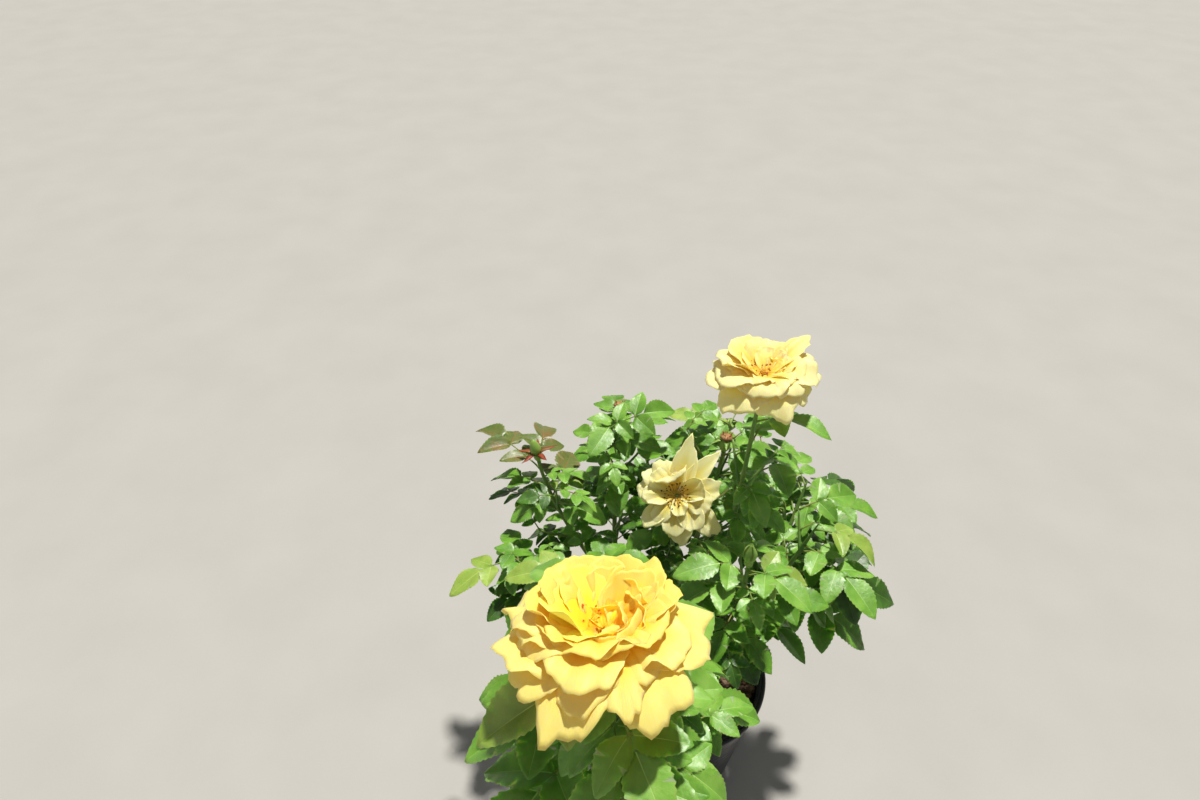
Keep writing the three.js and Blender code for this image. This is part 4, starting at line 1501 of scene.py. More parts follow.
FRONT_PETALS = [
    ("guard", 96, {"tip": (54, 4), "width": 66}),
    ("guard", 54, {"tip": (58, 5), "width": 60}),
    ("guard", 150, {"tip": (64, 3), "width": 54, "points": [(0.05, 0.13)]}),
    ("guard", -168, {"bend": (36, 12), "tip": (61, 3), "width": 60, "points": [(-0.2, 0.18), (0.35, 0.04)]}),
    ("guard", -145, {"tip": (60, -8), "width": 50, "round": 0.6, "points": [(0.3, 0.04)]}),
    ("guard", -110, {"tip": (63, -15), "width": 54, "round": 0.6, "points": [(-0.25, 0.12), (0.25, 0.03)]}),
    ("guard", -58, {"tip": (61, -13), "width": 56, "points": [(-0.42, 0.06), (0.48, 0.09)], "ruffle": 2.0}),
    ("guard", -5, {"tip": (63, 3), "width": 60, "points": [(0.5, 0.28), (-0.3, 0.03)], "roll": 0}),
    ("outer", 120, {"tip": (50, 22), "width": 54}),
    ("outer", 82, {"tip": (44, 26), "width": 54}),
    ("outer", 44, {"tip": (48, 24), "width": 52}),
    ("outer", 170, {"tip": (53, 12), "width": 50, "ruffle": 3.0, "points": [(0.2, 0.1)]}),
    ("outer", -158, {"tip": (50, 5), "width": 44, "roll": 3, "points": [(0.1, 0.12)]}),
    ("outer", -128, {"tip": (52, -7), "bend": (32, 17), "width": 38, "roll": 3}),
    ("outer", -105, {**CALM, "tip": (58, -4), "bend": (34, 19), "width": 40, "roll": 3}),
    ("outer", -77, {
        "tip": (61, -2), "bend": (36, 21), "width": 32, "roll": 4, "bow": -0.02, "ruffle": 0.8, "pleat": 2,
    }),
    ("outer", -110, {"tip": (52, 9), "bend": (33, 22), "width": 48, "ruffle": 3.4, "points": [(0.12, 0.09)]}),
    ("outer", 178, {"tip": (49, 9), "width": 56, "ruffle": 2.4}),
    ("outer", -56, {"tip": (45, 4), "bend": (30, 18), "width": 34, "ruffle": 2.4, "roll": 2}),
    ("outer", -24, {"tip": (52, 10), "bend": (32, 20), "width": 48, "ruffle": 3.2, "roll": -2}),
    ("middle", 18, {"tip": (45, 30), "width": 38, "roll": 3}),
    ("middle", 45, {"tip": (46, 36), "width": 38, "points": [(0.1, 0.07), (0.5, 0.07)], "bow": 0.035}),
    ("middle", 72, {"tip": (43, 36), "width": 46, "ruffle": 3.2, "pleat": 9}),
    ("middle", 104, {"tip": (42, 36), "width": 46, "ruffle": 3.2, "pleat": 9}),
    ("middle", 134, {"tip": (45, 33), "width": 50, "ruffle": 3.0}),
    ("middle", 165, {"bend": (30, 17), "tip": (46, 26), "width": 52, "ruffle": 2.0, "pleat": 3}),
    ("middle", -158, {"bend": (30, 19), "tip": (39, 22), "width": 50, "ruffle": 1.6, "pleat": 2}),
    ("middle", -122, {"foot": 8, "bend": (27, 23), "tip": (38, 19), "width": 48, "roll": 3, "ruffle": 2.4}),
    ("middle", -76, {"foot": 8, "bend": (27, 23), "tip": (33, 20), "width": 48, "roll": 3, "ruffle": 2.4}),
    ("middle", -34, {"foot": 8, "bend": (28, 24), "tip": (37, 24), "width": 44, "roll": 2, "ruffle": 2.6}),
    ("cup", 8, {"tip": (37, 33), "width": 36, "roll": 3}),
    ("cup", 38, {"tip": (35, 37), "width": 36, "ruffle": 2.8, "bow": 0.04}),
    ("cup", 74, {"tip": (33, 33), "width": 40, "ruffle": 3.0, "pleat": 9}),
    ("cup", 112, {"bend": (24, 14), "tip": (34, 30), "width": 44, "ruffle": 3.0}),
    # Inner petals in shade take the middle finish (1); the lemon inner finish stays on sunlit ones as painted
    # sunlight
    ("inner", 92, {"bend": (22, 12), "tip": (26, 26), "width": 36, "bow": 0.025}),
    ("inner", 50, {"bend": (24, 15), "tip": (23, 31), "width": 40, "bow": 0.03, "finish": 1}),
    ("inner", 8, {"bend": (28, 14), "tip": (20, 31), "width": 42, "bow": 0.03, "roll": -3, "finish": 1}),
    ("inner", -36, {
        "bend": (28, 13), "tip": (17, 28), "width": 44, "points": [(0.2, 0.14)], "bow": 0.025, "finish": 1,
    }),
    ("inner", -84, {"bend": (24, 12), "tip": (18, 22), "width": 42, "roll": 3, "bow": 0.025, "finish": 1}),
    ("inner", 164, {**CALM, "bend": (20, 21), "tip": (37, 28), "width": 64, "bow": 0.03}),
    ("inner", -146, {**CALM, "bend": (19, 19), "tip": (31, 20), "width": 44, "bow": 0.03}),
    ("heart", 0, {"bend": (16, 14), "tip": (6, 27), "width": 32, "ruffle": 2.0, "bow": 0.03, "finish": 1}),
    ("heart", -60, {"bend": (15, 12), "tip": (6, 19), "width": 30, "ruffle": 2.0, "bow": 0.03, "finish": 1}),
    ("heart", 80, {"bend": (13, 10), "tip": (9, 20), "width": 28, "ruffle": 2.0, "bow": 0.03}),
]
TOP_PETALS = [
    ("guard", 94, {"tip": (56, 6), "width": 62}),
    ("guard", 140, {"tip": (58, 3), "width": 58}),
    ("guard", -172, {"tip": (64, 2), "width": 64, "ruffle": 1.2, "pleat": 3}),
    ("guard", -130, {"tip": (61, -13), "width": 60, "points": [(-0.35, 0.13)], "roll": 2}),
    ("guard", -84, {"tip": (56, -13), "width": 62, "points": [(0.2, 0.07)]}),
    ("guard", -42, {"tip": (51, -8), "width": 54}),
    ("guard", 10, {"tip": (64, 3), "width": 52, "points": [(0.3, 0.12)]}),
    ("guard", 46, {"tip": (60, 8), "width": 52}),
    ("outer", 20, {"tip": (59, 15), "width": 46, "ruffle": 2.6, "points": [(0.2, 0.1)]}),
    ("outer", 64, {"tip": (50, 20), "width": 52}),
    ("outer", 108, {"tip": (50, 22), "width": 54}),
    ("outer", 152, {"tip": (53, 18), "width": 54}),
    ("outer", -156, {"tip": (57, 10), "width": 56, "ruffle": 2.4, "pleat": 3}),
    ("outer", -108, {"tip": (50, 8), "width": 60, "ruffle": 4.0, "roll": 2}),
    ("outer", -62, {"tip": (49, 7), "width": 58, "ruffle": 4.0, "roll": 2}),
    ("outer", -18, {"tip": (56, 9), "width": 50, "ruffle": 3.2}),
    ("middle", 32, {"tip": (57, 34), "width": 28, "points": [(0.1, 0.12)], "bow": 0.06, "pleat": 3}),
    ("middle", 124, {"tip": (44, 31), "width": 60, "ruffle": 2.0, "pleat": 3}),
    ("middle", 82, {"tip": (40, 27), "width": 50, "pleat": 3}),
    ("middle", 168, {"tip": (46, 15), "width": 58, "pleat": 3, "ruffle": 1.8}),
    ("middle", -132, {"tip": (38, 13), "width": 52, "roll": 2, "ruffle": 3.0, "pleat": 3}),
    ("middle", -76, {"tip": (36, 12), "width": 52, "roll": 2, "ruffle": 3.0, "pleat": 3}),
    ("middle", -20, {"tip": (40, 16), "width": 46, "ruffle": 2.6, "pleat": 3}),
    ("cup", 106, {"tip": (30, 22), "width": 44, "pleat": 3}),
    ("cup", 60, {"tip": (30, 25), "width": 38, "pleat": 3}),
    ("cup", 166, {"bend": (24, 19), "tip": (41, 20), "width": 60, "pleat": 1.5, "bow": 0.026}),
    ("cup", 8, {"tip": (31, 20), "width": 36, "pleat": 3}),
    ("inner", 30, {"bend": (20, 11), "tip": (17, 20), "width": 32, "bow": 0.03}),
    ("inner", -44, {"bend": (20, 9), "tip": (18, 15), "width": 34, "bow": 0.02}),
]
LONG = {"bend": (28, 9), "round": 1.5, "ruffle": 0.8, "roll": 0, "bow": 0.03, "frill": 0.2, "pleat": 3}
CRUMPLED = {"bend": (22, 16), "ruffle": 3.0, "round": 1.0, "frill": 0.8, "pleat": 4}
FADED_PETALS = [
    ("guard", 73, {**LONG, "tip": (54, 16), "width": 31, "points": [(0, 0.28)]}),
    ("guard", 43, {**LONG, "tip": (54, 10), "width": 24, "points": [(0, 0.26)]}),
    ("guard", 6, {**LONG, "tip": (53, 6), "width": 27}),
    ("guard", -47, {**LONG, "tip": (57, -4), "width": 30, "points": [(0.1, 0.06)]}),
    ("guard", -90, {**LONG, "tip": (50, -2), "width": 34, "points": [(0, 0.1)]}),
    ("guard", -144, {**LONG, "tip": (50, 0), "width": 24, "ruffle": 2.0}),
    ("guard", 168, {**CRUMPLED, "tip": (46, 5), "width": 32}),
    ("guard", 140, {**CRUMPLED, "tip": (44, 8), "width": 32}),
    ("guard", 116, {**CRUMPLED, "tip": (42, 14), "width": 30}),
    ("outer", 108, {**CRUMPLED, "bend": (32, 25), "tip": (11, 21), "width": 42, "ruffle": 1.2, "pleat": 2}),
    ("outer", 136, {**CRUMPLED, "tip": (34, 20), "width": 30}),
    ("outer", 176, {**CRUMPLED, "tip": (38, 14), "width": 26}),
    ("outer", 12, {**CRUMPLED, "tip": (30, 20), "width": 27, "roll": -5, "ruffle": 1.2, "pleat": 2}),
    ("outer", -22, {**CRUMPLED, "tip": (38, 12), "width": 30, "ruffle": 1.6, "pleat": 2}),
    ("outer", -62, {**LONG, "tip": (43, 8), "width": 31, "ruffle": 1.4, "pleat": 2}),
    ("outer", -101, {**LONG, "tip": (45, 4), "width": 30, "ruffle": 1.6, "pleat": 2}),
    ("outer", -134, {**CRUMPLED, "tip": (44, 3), "width": 22, "ruffle": 2.0}),
    ("middle", -86, {**CRUMPLED, "tip": (22, 15), "bend": (15, 12), "width": 20, "ruffle": 2.4}),
]
RING_ORDER = list(RINGS)
BLOOM_RAISED = 8  # how far a bloom's foot stands beyond the end of its shoot
print("petals:", len(FRONT_PETALS), len(TOP_PETALS), len(FADED_PETALS))


def bloom_stand(name):
    """The matrix that stands a bloom on its shoot, turned to its axis, in millimetres."""
    axis, scale = BLOOMS[name][:2]
    shoot = shoots[name]
    turn = Vector((0, 0, 1)).rotation_difference(Vector(axis).normalized()).to_matrix().to_4x4()
    place = Vector(shoot.end + shoot.curve.way(1) * BLOOM_RAISED)
    return Matrix.Translation(place) @ turn @ Matrix.Scale(scale, 4)


def moved(points, matrix):
    return [tuple(matrix @ Vector(p)) for p in points]


def bloom_piece(name, petals, finishes):
    """A bloom's petals on its shoot, given their thickness, as one plain piece."""
    stand = bloom_stand(name)
    pile = Pile()
    for ring, turn, changes in petals:
        seed = 0.3 + 0.173 * (turn % 360) + 2.1 * RING_ORDER.index(ring)
        petal = {**PLAIN, **RINGS[ring], "turn": turn, "seed": seed, **changes}
        points, faces, marks = petal_sheet(petal)
        part = petal.get("finish", RING_ORDER.index(ring) // 2)
        pile.add(moved(points, stand), faces, part, marks)
    made = pile.make(name + "_petals_sheet", finishes, uv=True)
    wall = made.modifiers.new("wall", "SOLIDIFY")
    wall.thickness = PETAL_THICK * MM
    wall.offset = 0
    return settled(made, "petals_" + name)


def petal_finish(name, foot, middle, rim, deep=0.3, painted_glow=0.04):
    """Deep up to a share of a petal's length, paler at its rim, finely lined, with a faint painted glow."""
    made, nodes, links, shader = finish_of(name, 0.55)
    place = nodes.new("ShaderNodeTexCoord")
    parts = nodes.new("ShaderNodeSeparateXYZ")
    links.new(place.outputs["UV"], parts.inputs["Vector"])
    cloud = grain(nodes, links, 30, 3.0)
    shifted = nodes.new("ShaderNodeMath")
    shifted.operation = "MULTIPLY_ADD"
    shifted.inputs[1].default_value = 0.3
    links.new(cloud, shifted.inputs[0])
    links.new(parts.outputs["Y"], shifted.inputs[2])
    stops = [(deep, foot), (0.5 * deep + 0.5, middle), (1.0, rim)]
    links.new(ramp(nodes, links, shifted.outputs[0], stops), shader.inputs["Base Color"])
    lines = grain(nodes, links, 9, 3.0, (9, 0.6, 1), "UV")
    relief(nodes, links, shader, lines, 0.0002)
    return tune(
        made, Subsurface_Weight=0.55, Subsurface_Radius=(1.0, 0.75, 0.12), Subsurface_Scale=0.0014,
        Sheen_Weight=0.15, Sheen_Roughness=0.4, Specular_IOR_Level=0.3,
        # Emission: a painted glow in the foot's colour, which stands for light that has crossed several
        # petals
        Emission_Color=colour(foot), Emission_Strength=painted_glow,
    )


full_finishes = [
    # Outer and middle carry the orange foot further out (0.42, 0.4): the petals' own deeper base, and painted
    # shade under the cup
    petal_finish("petal_outer", "#f0ae22", "#f0c84a", "#f3dc80", 0.42, 0.08),
    petal_finish("petal_middle", "#f0a81a", "#f0c03a", "#f3d66c", 0.4, 0.08),
    # Lemon inner finish: kept for inner petals in the sun, as painted sunlight through them
    petal_finish("petal_inner", "#fcc024", "#ffde30", "#fff068", 0.3, 0.06),
]
pale_finishes = [
    petal_finish("pale_petal_outer", "#ecc24c", "#f6dc80", "#faeaa6", 0.3, 0.04),
    petal_finish("pale_petal_middle", "#f0ba3a", "#f7d66e", "#fae496", 0.3, 0.06),
    petal_finish("pale_petal_inner", "#f2bc3a", "#f8d860", "#fbe688", 0.3, 0.06),
]
faded_finishes = [
    petal_finish("faded_petal_outer", "#d4b644", "#e4d278", "#f1e8ac"),
    petal_finish("faded_petal_middle", "#d8b03c", "#e4d074", "#f2e8b0"),
    petal_finish("faded_petal_inner", "#d4ae3c", "#e2cc70", "#eee2a8"),
]
petals_front = bloom_piece("front", FRONT_PETALS, full_finishes)
petals_top = bloom_piece("top", TOP_PETALS, pale_finishes)
petals_faded = bloom_piece("faded", FADED_PETALS, faded_finishes)

# %% [markdown]
# ## Stamens
# The hearts hold a tuft of stamens: a thin filament each, with a brown or orange anther. They follow
# a rule: each is a golden turn on from the last and a little further out. A loop works the places
# out from a count and a radius, and Geometry Nodes sets a copy of one stamen at each.


# %% A stamen, and the tree that sets a tuft of them
FILAMENT_PATH = [(0, 0, 0), (0.2, 0, 5), (0.9, 0, 10)]
FILAMENT_RADII = (0.32, 0.25, 0.2)
ANTHER_PROFILE = [(0.15, -1), (0.75, -0.6), (0.8, 0.6), (0.2, 1.1)]
ANTHER_PLACE = np.array((1.0, 0, 10.4))
ANTHER_WAY = (0.5, 0, 1)


def stamen_shape():
    """One stamen 11 mm long, with its filament and anther marked on its faces."""
    thread, thread_faces = tube(FILAMENT_PATH, FILAMENT_RADII, 4)
    head, head_faces = turned_shape(ANTHER_PROFILE, 5, ANTHER_PLACE, ANTHER_WAY)
    shift = len(thread)
    faces = thread_faces + [tuple(i + shift for i in face) for face in head_faces]
    mesh = bpy.data.meshes.new("stamen")
    mesh.from_pydata([tuple(np.asarray(p) * MM) for p in thread + head], [], faces)
    marks = mesh.attributes.new("part", "INT", "FACE")
    marks.data.foreach_set("value", [0] * len(thread_faces) + [1] * len(head_faces))
    smooth(mesh)
    return bpy.data.objects.new("stamen", mesh)


def stamen_tree():
    """Sets a copy of one stamen at each place, and paints its two parts."""
    labels = ("Filament", "Anther")
    inputs = [("Shape", "Object")] + [(label, "Material") for label in labels]
    tree, start, end = new_tree("set_stamens", inputs)
    shape = tree.nodes.new("GeometryNodeObjectInfo")
    tree.links.new(start.outputs["Shape"], shape.inputs["Object"])
    real = set_copies(tree, start, shape.outputs["Geometry"])
    tree.links.new(paint_parts(tree, start, real, labels), end.inputs["Geometry"])
    return tree


set_stamens = stamen_tree()
print("nodes in the stamens' tree:", len(set_stamens.nodes))


def stamens(name, count, radius, centre, size, filament, anther):
    """A tuft of stamens in a bloom's heart, each a golden turn on from the last."""
    stand = bloom_stand(name)
    draw = draws(900 + count)
    places, ways, sizes = [], [], []
    for i in range(count):
        angle = i * GOLDEN_TURN
        out = radius * math.sqrt((i + 0.5) / count)
        place = Vector(centre) + Vector((out * math.cos(angle), out * math.sin(angle), 0))
        places.append(tuple(stand @ place * MM))
        lean = 0.25 + 0.6 * out / radius + 0.3 * (draw() - 0.5)
        local = Matrix.Rotation(angle, 3, "Z") @ Matrix.Rotation(lean, 3, "Y")
        ways.append(tuple((stand.to_3x3().normalized() @ local).to_euler()))
        sizes.append(size * (0.75 + 0.5 * draw()))
    facts = [("way", "FLOAT_VECTOR", "vector", ways), ("size", "FLOAT", "value", sizes)]
    carrier = carrier_of("stamen_places", places, facts)
    shape = stamen_shape()
    values = {"Shape": shape, "Filament": filament, "Anther": anther}
    made = grown_by(set_stamens, carrier, values, "stamens_" + name)
    bpy.data.objects.remove(shape)
    return made


filament_finish = mottled("filament_finish", ["#e8a63a", "#f2c35a"], 200, (0.5, 0.6), 900, 0.00005)
anther_finish = mottled("anther_finish", ["#8a4a1c", "#c0702a"], 300, (0.6, 0.7), 900, 0.0001)
dark_filament = mottled("dark_filament", ["#8a5420", "#b27c34"], 200, (0.5, 0.6), 900, 0.00005)
fresh_anther = mottled("fresh_anther", ["#c8541c", "#e07a2c"], 300, (0.6, 0.7), 900, 0.0001)
dark_anther = mottled("dark_anther", ["#3c2415", "#6a4020"], 300, (0.6, 0.7), 900, 0.0001)
stamens_front = stamens("front", 9, 2.5, (-9, 6, 12), 0.75, filament_finish, fresh_anther)
stamens_top = stamens("top", 20, 5, (-6, 3, 6), 0.95, filament_finish, anther_finish)
stamens_faded = stamens("faded", 54, 9, (-3, 1, 4), 1.0, dark_filament, dark_anther)

# %% [markdown]
# ## Hips, sepals, buds and spent heads
# Under each bloom sits a green hip with five sepals that hang back. Three shoots end in a closed
# bud, and two in a head whose petals have dropped, green below with a tan dried top. They are
# turned shapes with sepals laid round them, and all five sepals of one come from one loop.

# %% Sepals and hips
green_parts = Pile()
GREEN, RED, TAN = 0, 1, 2
SEPALS, SEPAL_TURN = 5, 1.2566
SEPAL_ROWS = 7


def sepal(place, axis, turn, length, width, rise, part):
    """A narrow pointed blade that leaves a hip's shoulder. rise: from -1, hanging, to 1, closed."""
    axis = unit(axis)
    out = about(unit(square_to(axis)), axis, turn)
    side = np.cross(axis, out)
    points, faces = [], []
    for i in range(SEPAL_ROWS + 1):
        t = i / SEPAL_ROWS
        reach = length * t
        bend = mix(0.9, rise, min(1, t * 1.6))
        if rise > 0.5:
            belly = 4.2 + 3.4 * math.sin(math.pi * min(1, t * 1.05)) - 3.5 * t
            centre = place + axis * reach + out * belly
        else:
            centre = place + out * (4 + reach * (1 - 0.45 * abs(bend))) + axis * (reach * bend * 0.8)
        half_width = width * 0.5 * (1 - t) ** 0.7 * (0.6 + 1.6 * t * (1 - t) * 2)
        lower = centre - (out if rise > 0.5 else axis) * 0.55
        points += [centre - side * half_width, centre, centre + side * half_width, lower]
    for i in range(SEPAL_ROWS):
        a = i * 4
        for k in range(4):
            b = (k + 1) % 4
            faces.append((a + k, a + b, a + 4 + b, a + 4 + k))
    faces.append((3, 2, 1, 0))
    faces.append(tuple(SEPAL_ROWS * 4 + k for k in range(4)))
    green_parts.add(points, faces, part)


def sepals(place, axis, first, length, width, rise, part=GREEN):
    """Five sepals round a hip's shoulder. first: the turn of the first."""
    for k in range(SEPALS):
        sepal(place, axis, k * SEPAL_TURN + first, length, width, rise, part)


def hip(place, axis, radius, height):
    """A green hip, with a short neck below it that goes into the shoot."""
    profile = [(1.6, -4), (0.6 * radius, -3), (0.93 * radius, 0), (radius, 0.35 * height)]
    profile += [(0.92 * radius, 0.7 * height), (0.75 * radius, height), (0.3 * radius, height + 0.6)]
    green_parts.add(*turned_shape(profile, 14, place, axis))


def withered(angle, _):
    """The uneven edge of a dried disc, the same at each height."""
    return 1 + 0.16 * math.sin(5 * angle) + 0.1 * math.sin(11 * angle)


def dried_top(place, axis, radius):
    """The shrunken disc on a spent head, with its withered stamens."""
    draw = draws(int(abs(place[0])) + 5)
    profile = [(0.55 * radius, 0), (0.95 * radius, 2.5), (radius, 5), (0.6 * radius, 6.5), (0.1, 5.2)]
    green_parts.add(*turned_shape(profile, 16, place, axis, withered), TAN)
    across = unit(np.cross(axis, (0.3, 1, 0.2)))
    for k in range(14):
        out = about(across, unit(axis), k * GOLDEN_TURN)
        foot = place + axis * 5 + out * radius * 0.5
        end = foot + axis * (3 + 3 * draw()) + out * (2 + 3 * draw())
        green_parts.add(*tube([foot, (foot + end) / 2 + axis, end], [0.5, 0.4, 0.3], 4), TAN)


BUD_PROFILE = [(3.8, 5), (6.2, 9), (7.0, 13), (5.6, 19), (3.0, 24), (0.6, 27)]
for shoot in shoot_list:
    place, axis = shoot.end, shoot.curve.way(1)
    if shoot.tip == "bloom":
        hip(place, axis, 5.4, 6.4)
        sepals(place + axis * 7, axis, 0.3, 26, 8, -0.75)
    if shoot.tip == "bud":
        rise, part = (0.2, RED) if shoot.name == "young" else (1.0, GREEN)
        hip(place, axis, 4.6, 6)
        green_parts.add(*turned_shape(BUD_PROFILE, 16, place, axis), GREEN)
        sepals(place + axis * 6, axis, 0, 24, 8, rise, part)
    if shoot.tip == "spent":
        hip(place, axis, 6.4, 11)
        dried_top(place + axis * 11, axis, 7.5)
        sepals(place + axis * 10, axis, 0.5, 15, 6, -0.2)

hip_finish = mottled("hip_finish", ["#6f9a3c", "#87ac4b", "#9db65c"], 60, (0.35, 0.5), 700, 0.0001)
red_finish = mottled("red_sepal_finish", ["#8a3a24", "#a04c2c", "#7a6a34"], 60, (0.4, 0.5), 700, 0.0001)
tan_finish = mottled("dried_finish", ["#7a5234", "#a3744a", "#c29a6c"], 140, (0.7, 0.9), 700, 0.0003)
hips = green_parts.make("hips_and_buds", [hip_finish, red_finish, tan_finish])

# %% [markdown]
# ## The pot and its soil
# The pot is thin black moulded plastic: a tapering wall, a collar, and a thick rolled rim with two
# rounded beads that catch the light as two lines. It is turned from a profile in one go, and its
# drain holes are cut through the foot of the wall with a boolean.

# %% The pot
POT_SIDES = 112


def arc(centre, radius, low, high, count):
    """Points on an arc of a profile, from one angle to another in degrees."""
    angles = [math.radians(mix(low, high, i / count)) for i in range(count + 1)]
    return [(centre[0] + radius * math.cos(a), centre[1] + radius * math.sin(a)) for a in angles]


def pot_inside(z):
    """The radius of the wall's inner face at a height."""
    slope = (POT["wall_top"] - POT["base_radius"]) / POT["collar_foot"]
    return POT["base_radius"] + slope * z - POT["wall"]


def pot_profile():
    """The pot's outline from the middle of its underside, up the outside, and down to its floor."""
    base, top, collar = POT["base_radius"], POT["wall_top"], POT["collar_radius"]
    rim, foot, height = POT["rim_radius"], POT["collar_foot"], POT["height"]
    profile = [(0.01, 2.2), (40, 2.2), (base - 10, 2.2), (base - 8, 0), (base - 1.6, 0)]
    profile += arc((base - 1.6, 1.8), 1.8, -80, 0, 4)
    profile += [(mix(base, top, t), foot * t) for t in np.linspace(0.06, 0.985, 16)]
    profile += arc((top + 0.9, foot + 0.6), 1.2, 180, 120, 2)
    profile += [(collar - 0.9, foot + 1.6), (collar, foot + 3)]
    profile += [(collar + 0.3, z) for z in (192, 198, height - 9.4)]
    profile += arc((rim - 3.6, height - 4.4), 3.6, -70, 125, 12)
    profile += arc((rim - 7.6, height - 3.4), 2.9, 70, 235, 10)
    profile += [(pot_inside(foot) + 1.0, height - 8), (pot_inside(200) - 0.4, 200)]
    profile += [(pot_inside(z), z) for z in (foot, 150, 100, 50, 6)]
    return profile + [(pot_inside(0) - 2.5, 3.6), (40, 3.4), (0.01, 3.4)]


def drain_cutter(number):
    """A short round bar that cuts one drain hole through the wall's foot."""
    angle = 2 * math.pi * (number + 0.5) / POT["drains"]
    way = np.array((math.cos(angle), math.sin(angle), 0))
    centre = way * POT["base_radius"] + UP * (POT["floor"] + POT["drain_radius"])
    return tube([centre - way * 9, centre + way * 9], [POT["drain_radius"]] * 2, 20)


pot_pile = Pile()
pot_pile.add(*turned_shape(pot_profile(), POT_SIDES, np.zeros(3), UP))
pot_body = pot_pile.make("pot_body", [])
cutters = Pile()
for number in range(POT["drains"]):
    cutters.add(*drain_cutter(number))
drain_cutters = cutters.make("drain_cutters", [])
for made in (pot_body, drain_cutters):
    welded(made.data)
cut = pot_body.modifiers.new("drains", "BOOLEAN")
cut.operation = "DIFFERENCE"
cut.solver = "EXACT"
cut.object = drain_cutters
pot_piece = settled(pot_body, "nursery_pot")
bpy.data.objects.remove(drain_cutters)


def pot_finish():
    """Black plastic with a soft gloss, faint scuffs round it and a little dust."""
    made, nodes, links, shader = finish_of("pot_plastic", 0.4)
    dust = grain(nodes, links, 14, 6.0)
    scuffs = grain(nodes, links, 60, 4.0, (1, 1, 6))
    stops = [(0.4, "#15181b"), (0.58, "#1e2226"), (0.75, "#3a3b3a")]
    links.new(ramp(nodes, links, dust, stops), shader.inputs["Base Color"])
    links.new(spread(nodes, links, scuffs, 0.28, 0.5), shader.inputs["Roughness"])
    relief(nodes, links, shader, scuffs, 0.00025)
    return made


pot_look = pot_finish()
pot_piece.data.materials.clear()
pot_piece.data.materials.append(pot_look)
smooth(pot_piece.data)
pot_piece.data.set_sharp_from_angle(angle=math.radians(40))

# %% The soil's surface, a little uneven, closed below
soil_pile = Pile()
SOIL_SIDES = 72
SOIL_RINGS = 22  # from the middle out to the wall
SOIL_ROWS = 6  # down the wall
SOIL_FOOT = 4.0
SOIL_GAP = 0.4


def soil_radius(z):
    return pot_inside(z) - SOIL_GAP


def soil_points():
    points = [(0, 0, SOIL_TOP)]
    outer = soil_radius(SOIL_TOP)
    for i in range(1, SOIL_RINGS + 1):
        radius = outer * i / SOIL_RINGS
        for angle in round_angles(SOIL_SIDES):
            x, y = radius * math.cos(angle), radius * math.sin(angle)
            rise = 3.0 * noise.noise(Vector((x, y, 0)) * 0.03)
            rise += 1.6 * noise.noise(Vector((x, y, 9)) * 0.11)
            points.append((x, y, SOIL_TOP - 1.5 + rise))
    for i in range(SOIL_ROWS):
        z = mix(SOIL_TOP - 6, SOIL_FOOT, i / (SOIL_ROWS - 1))
        radius = soil_radius(z)
        for angle in round_angles(SOIL_SIDES):
            points.append((radius * math.cos(angle), radius * math.sin(angle), z))
    return points


def soil_faces():
    faces = [(0, 1 + k, 1 + (k + 1) % SOIL_SIDES) for k in range(SOIL_SIDES)]
    steps = SOIL_RINGS + SOIL_ROWS - 1
    for i in range(steps):
        for k in range(SOIL_SIDES):
            a, b = 1 + i * SOIL_SIDES + k, 1 + i * SOIL_SIDES + (k + 1) % SOIL_SIDES
            faces.append((b, a, a + SOIL_SIDES, b + SOIL_SIDES))
    last = 1 + steps * SOIL_SIDES
    return faces + [tuple(last + k for k in reversed(range(SOIL_SIDES)))]


soil_finish = mottled("soil_finish", ["#2c211b", "#43342a", "#5c4a3c"], 120, (0.85, 1.0), 500, 0.0012)
soil_pile.add(soil_points(), soil_faces())
soil_piece = soil_pile.make("soil_fill", [soil_finish])


# %% Bark chips scattered over the soil
def chip_shape(seed):
    """A split flake of bark, one unit long, with an uneven outline."""
    draw = draws(seed)
    count = 7
    top, low = [], []
    for angle in round_angles(count):
        reach = 0.75 + 0.5 * draw()
        x, y = 0.5 * reach * math.cos(angle), 0.28 * reach * math.sin(angle)
        top.append((x, y, 0.09 + 0.06 * draw()))
        low.append((x * 1.05, y * 1.08, -0.09 - 0.05 * draw()))
    faces = [tuple(range(count)), tuple(reversed(range(count, 2 * count)))]
    for k in range(count):
        b = (k + 1) % count
        faces.append((k, k + count, b + count, b))
    mesh = bpy.data.meshes.new("chip")
    mesh.from_pydata(top + low, [], faces)
    return bpy.data.objects.new("chip", mesh)


CHIP_HEIGHT = SOIL_TOP + 0.5
CHIP_MARGIN = 5  # how far the chips' middles stay from the wall


def soil_top_carrier(name):
    """A flat disc at the soil's surface that the chips are scattered on."""
    sides = 48
    radius = (soil_radius(SOIL_TOP) - CHIP_MARGIN) * MM
    height = CHIP_HEIGHT * MM
    points = [(0, 0, height)]
    points += [(radius * math.cos(angle), radius * math.sin(angle), height) for angle in round_angles(sides)]
    mesh = bpy.data.meshes.new(name)
    mesh.from_pydata(points, [], [(0, 1 + k, 1 + (k + 1) % sides) for k in range(sides)])
    return linked(name, mesh)


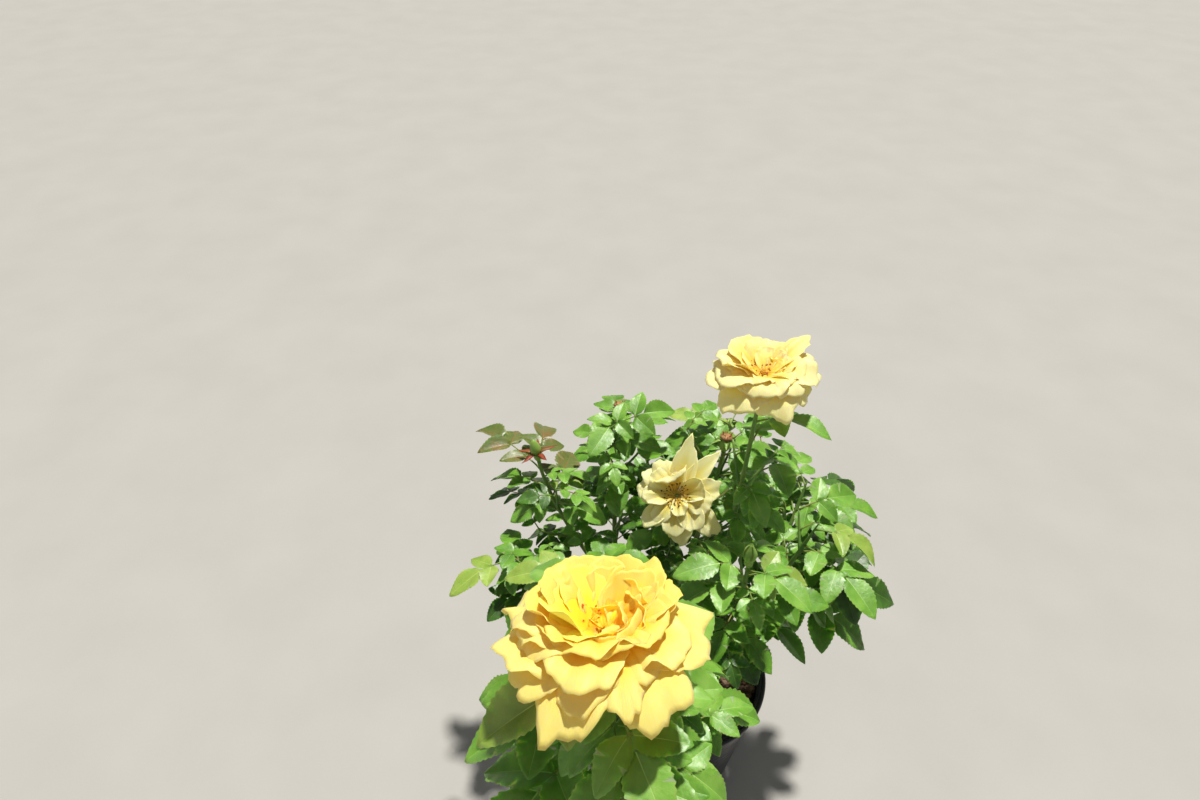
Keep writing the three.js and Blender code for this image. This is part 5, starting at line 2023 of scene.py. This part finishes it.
# Each kind's name, colours, density, sizes in metres, least distance and seed.
CHIP_KINDS = [
    ("bark_chips_dark", ["#3a2a20", "#55402f", "#6d5440"], 30000, (0.006, 0.016), 0.0038, 11),
    ("bark_chips_brown", ["#5d4635", "#7b6048", "#92775c"], 20000, (0.007, 0.019), 0.0055, 23),
    ("bark_chips_pale", ["#84705a", "#a08b72", "#b9a68c"], 9000, (0.004, 0.011), 0.008, 37),
]
chips = []
for name, tones, density, sizes, apart, seed in CHIP_KINDS:
    finish = mottled(name + "_finish", tones, 130, (0.8, 0.95), 900, 0.0005)
    carrier = soil_top_carrier(name + "_carrier")
    shape = chip_shape(seed)
    chips.append(scattered(carrier, shape, name, finish, density, sizes, apart, tumble=0.5, seed=seed))

# %% [markdown]
# ## Handing the pieces over
# Each piece rides on the imported model's one body, and the imported nodes that it stands for are hidden.
# Each is listed with one of the record's finishes, which is not applied here. Chips and prickles only come on
# top, so they stand for none.
# The boxes of the imported and the dressed model are written down side by side, so that any growth
# shows.

# %% Riding and replacing
nodes = frame["nodes"]
cane_nodes = [n for n in nodes if n.startswith(("cane_", "bough_"))]
leaf_nodes = [n for n in nodes if n.startswith("leaves_")]
HANDED = [
    (pot_piece, "pot", ["pot"]),
    (soil_piece, "soil", ["soil"]),
    (crown_piece, "wood", ["crown"]),
    (canes, "wood", cane_nodes),
    (prickles, "wood", []),
    (green_stems, "leaf", leaf_nodes),
    (leaf_stalks, "leaf", leaf_nodes),
    (hips, "leaf", leaf_nodes),
    (petals_front, "petal", ["bloom_front"]),
    (petals_top, "petal", ["bloom_top"]),
    (petals_faded, "faded_petal", ["bloom_faded"]),
    (stamens_front, "petal", ["bloom_front"]),
    (stamens_top, "petal", ["bloom_top"]),
    (stamens_faded, "faded_petal", ["bloom_faded"]),
]
HANDED += [(chip, "soil", []) for chip in chips]
for piece, tone, grew_in in foliage:
    HANDED.append((piece, "young_leaf" if tone == "bronze" else "leaf", grew_in))
for piece, slot, replaced in HANDED:
    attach(piece, "root")
    if replaced:
        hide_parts(*replaced)
print("pieces:", len(HANDED))

# %% Sizes, and the end
bpy.context.view_layer.update()
dressed_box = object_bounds()
sizes = {
    "cad": [list(corner) for corner in cad_box],
    "visual": [list(corner) for corner in dressed_box],
}
print(json.dumps(sizes))
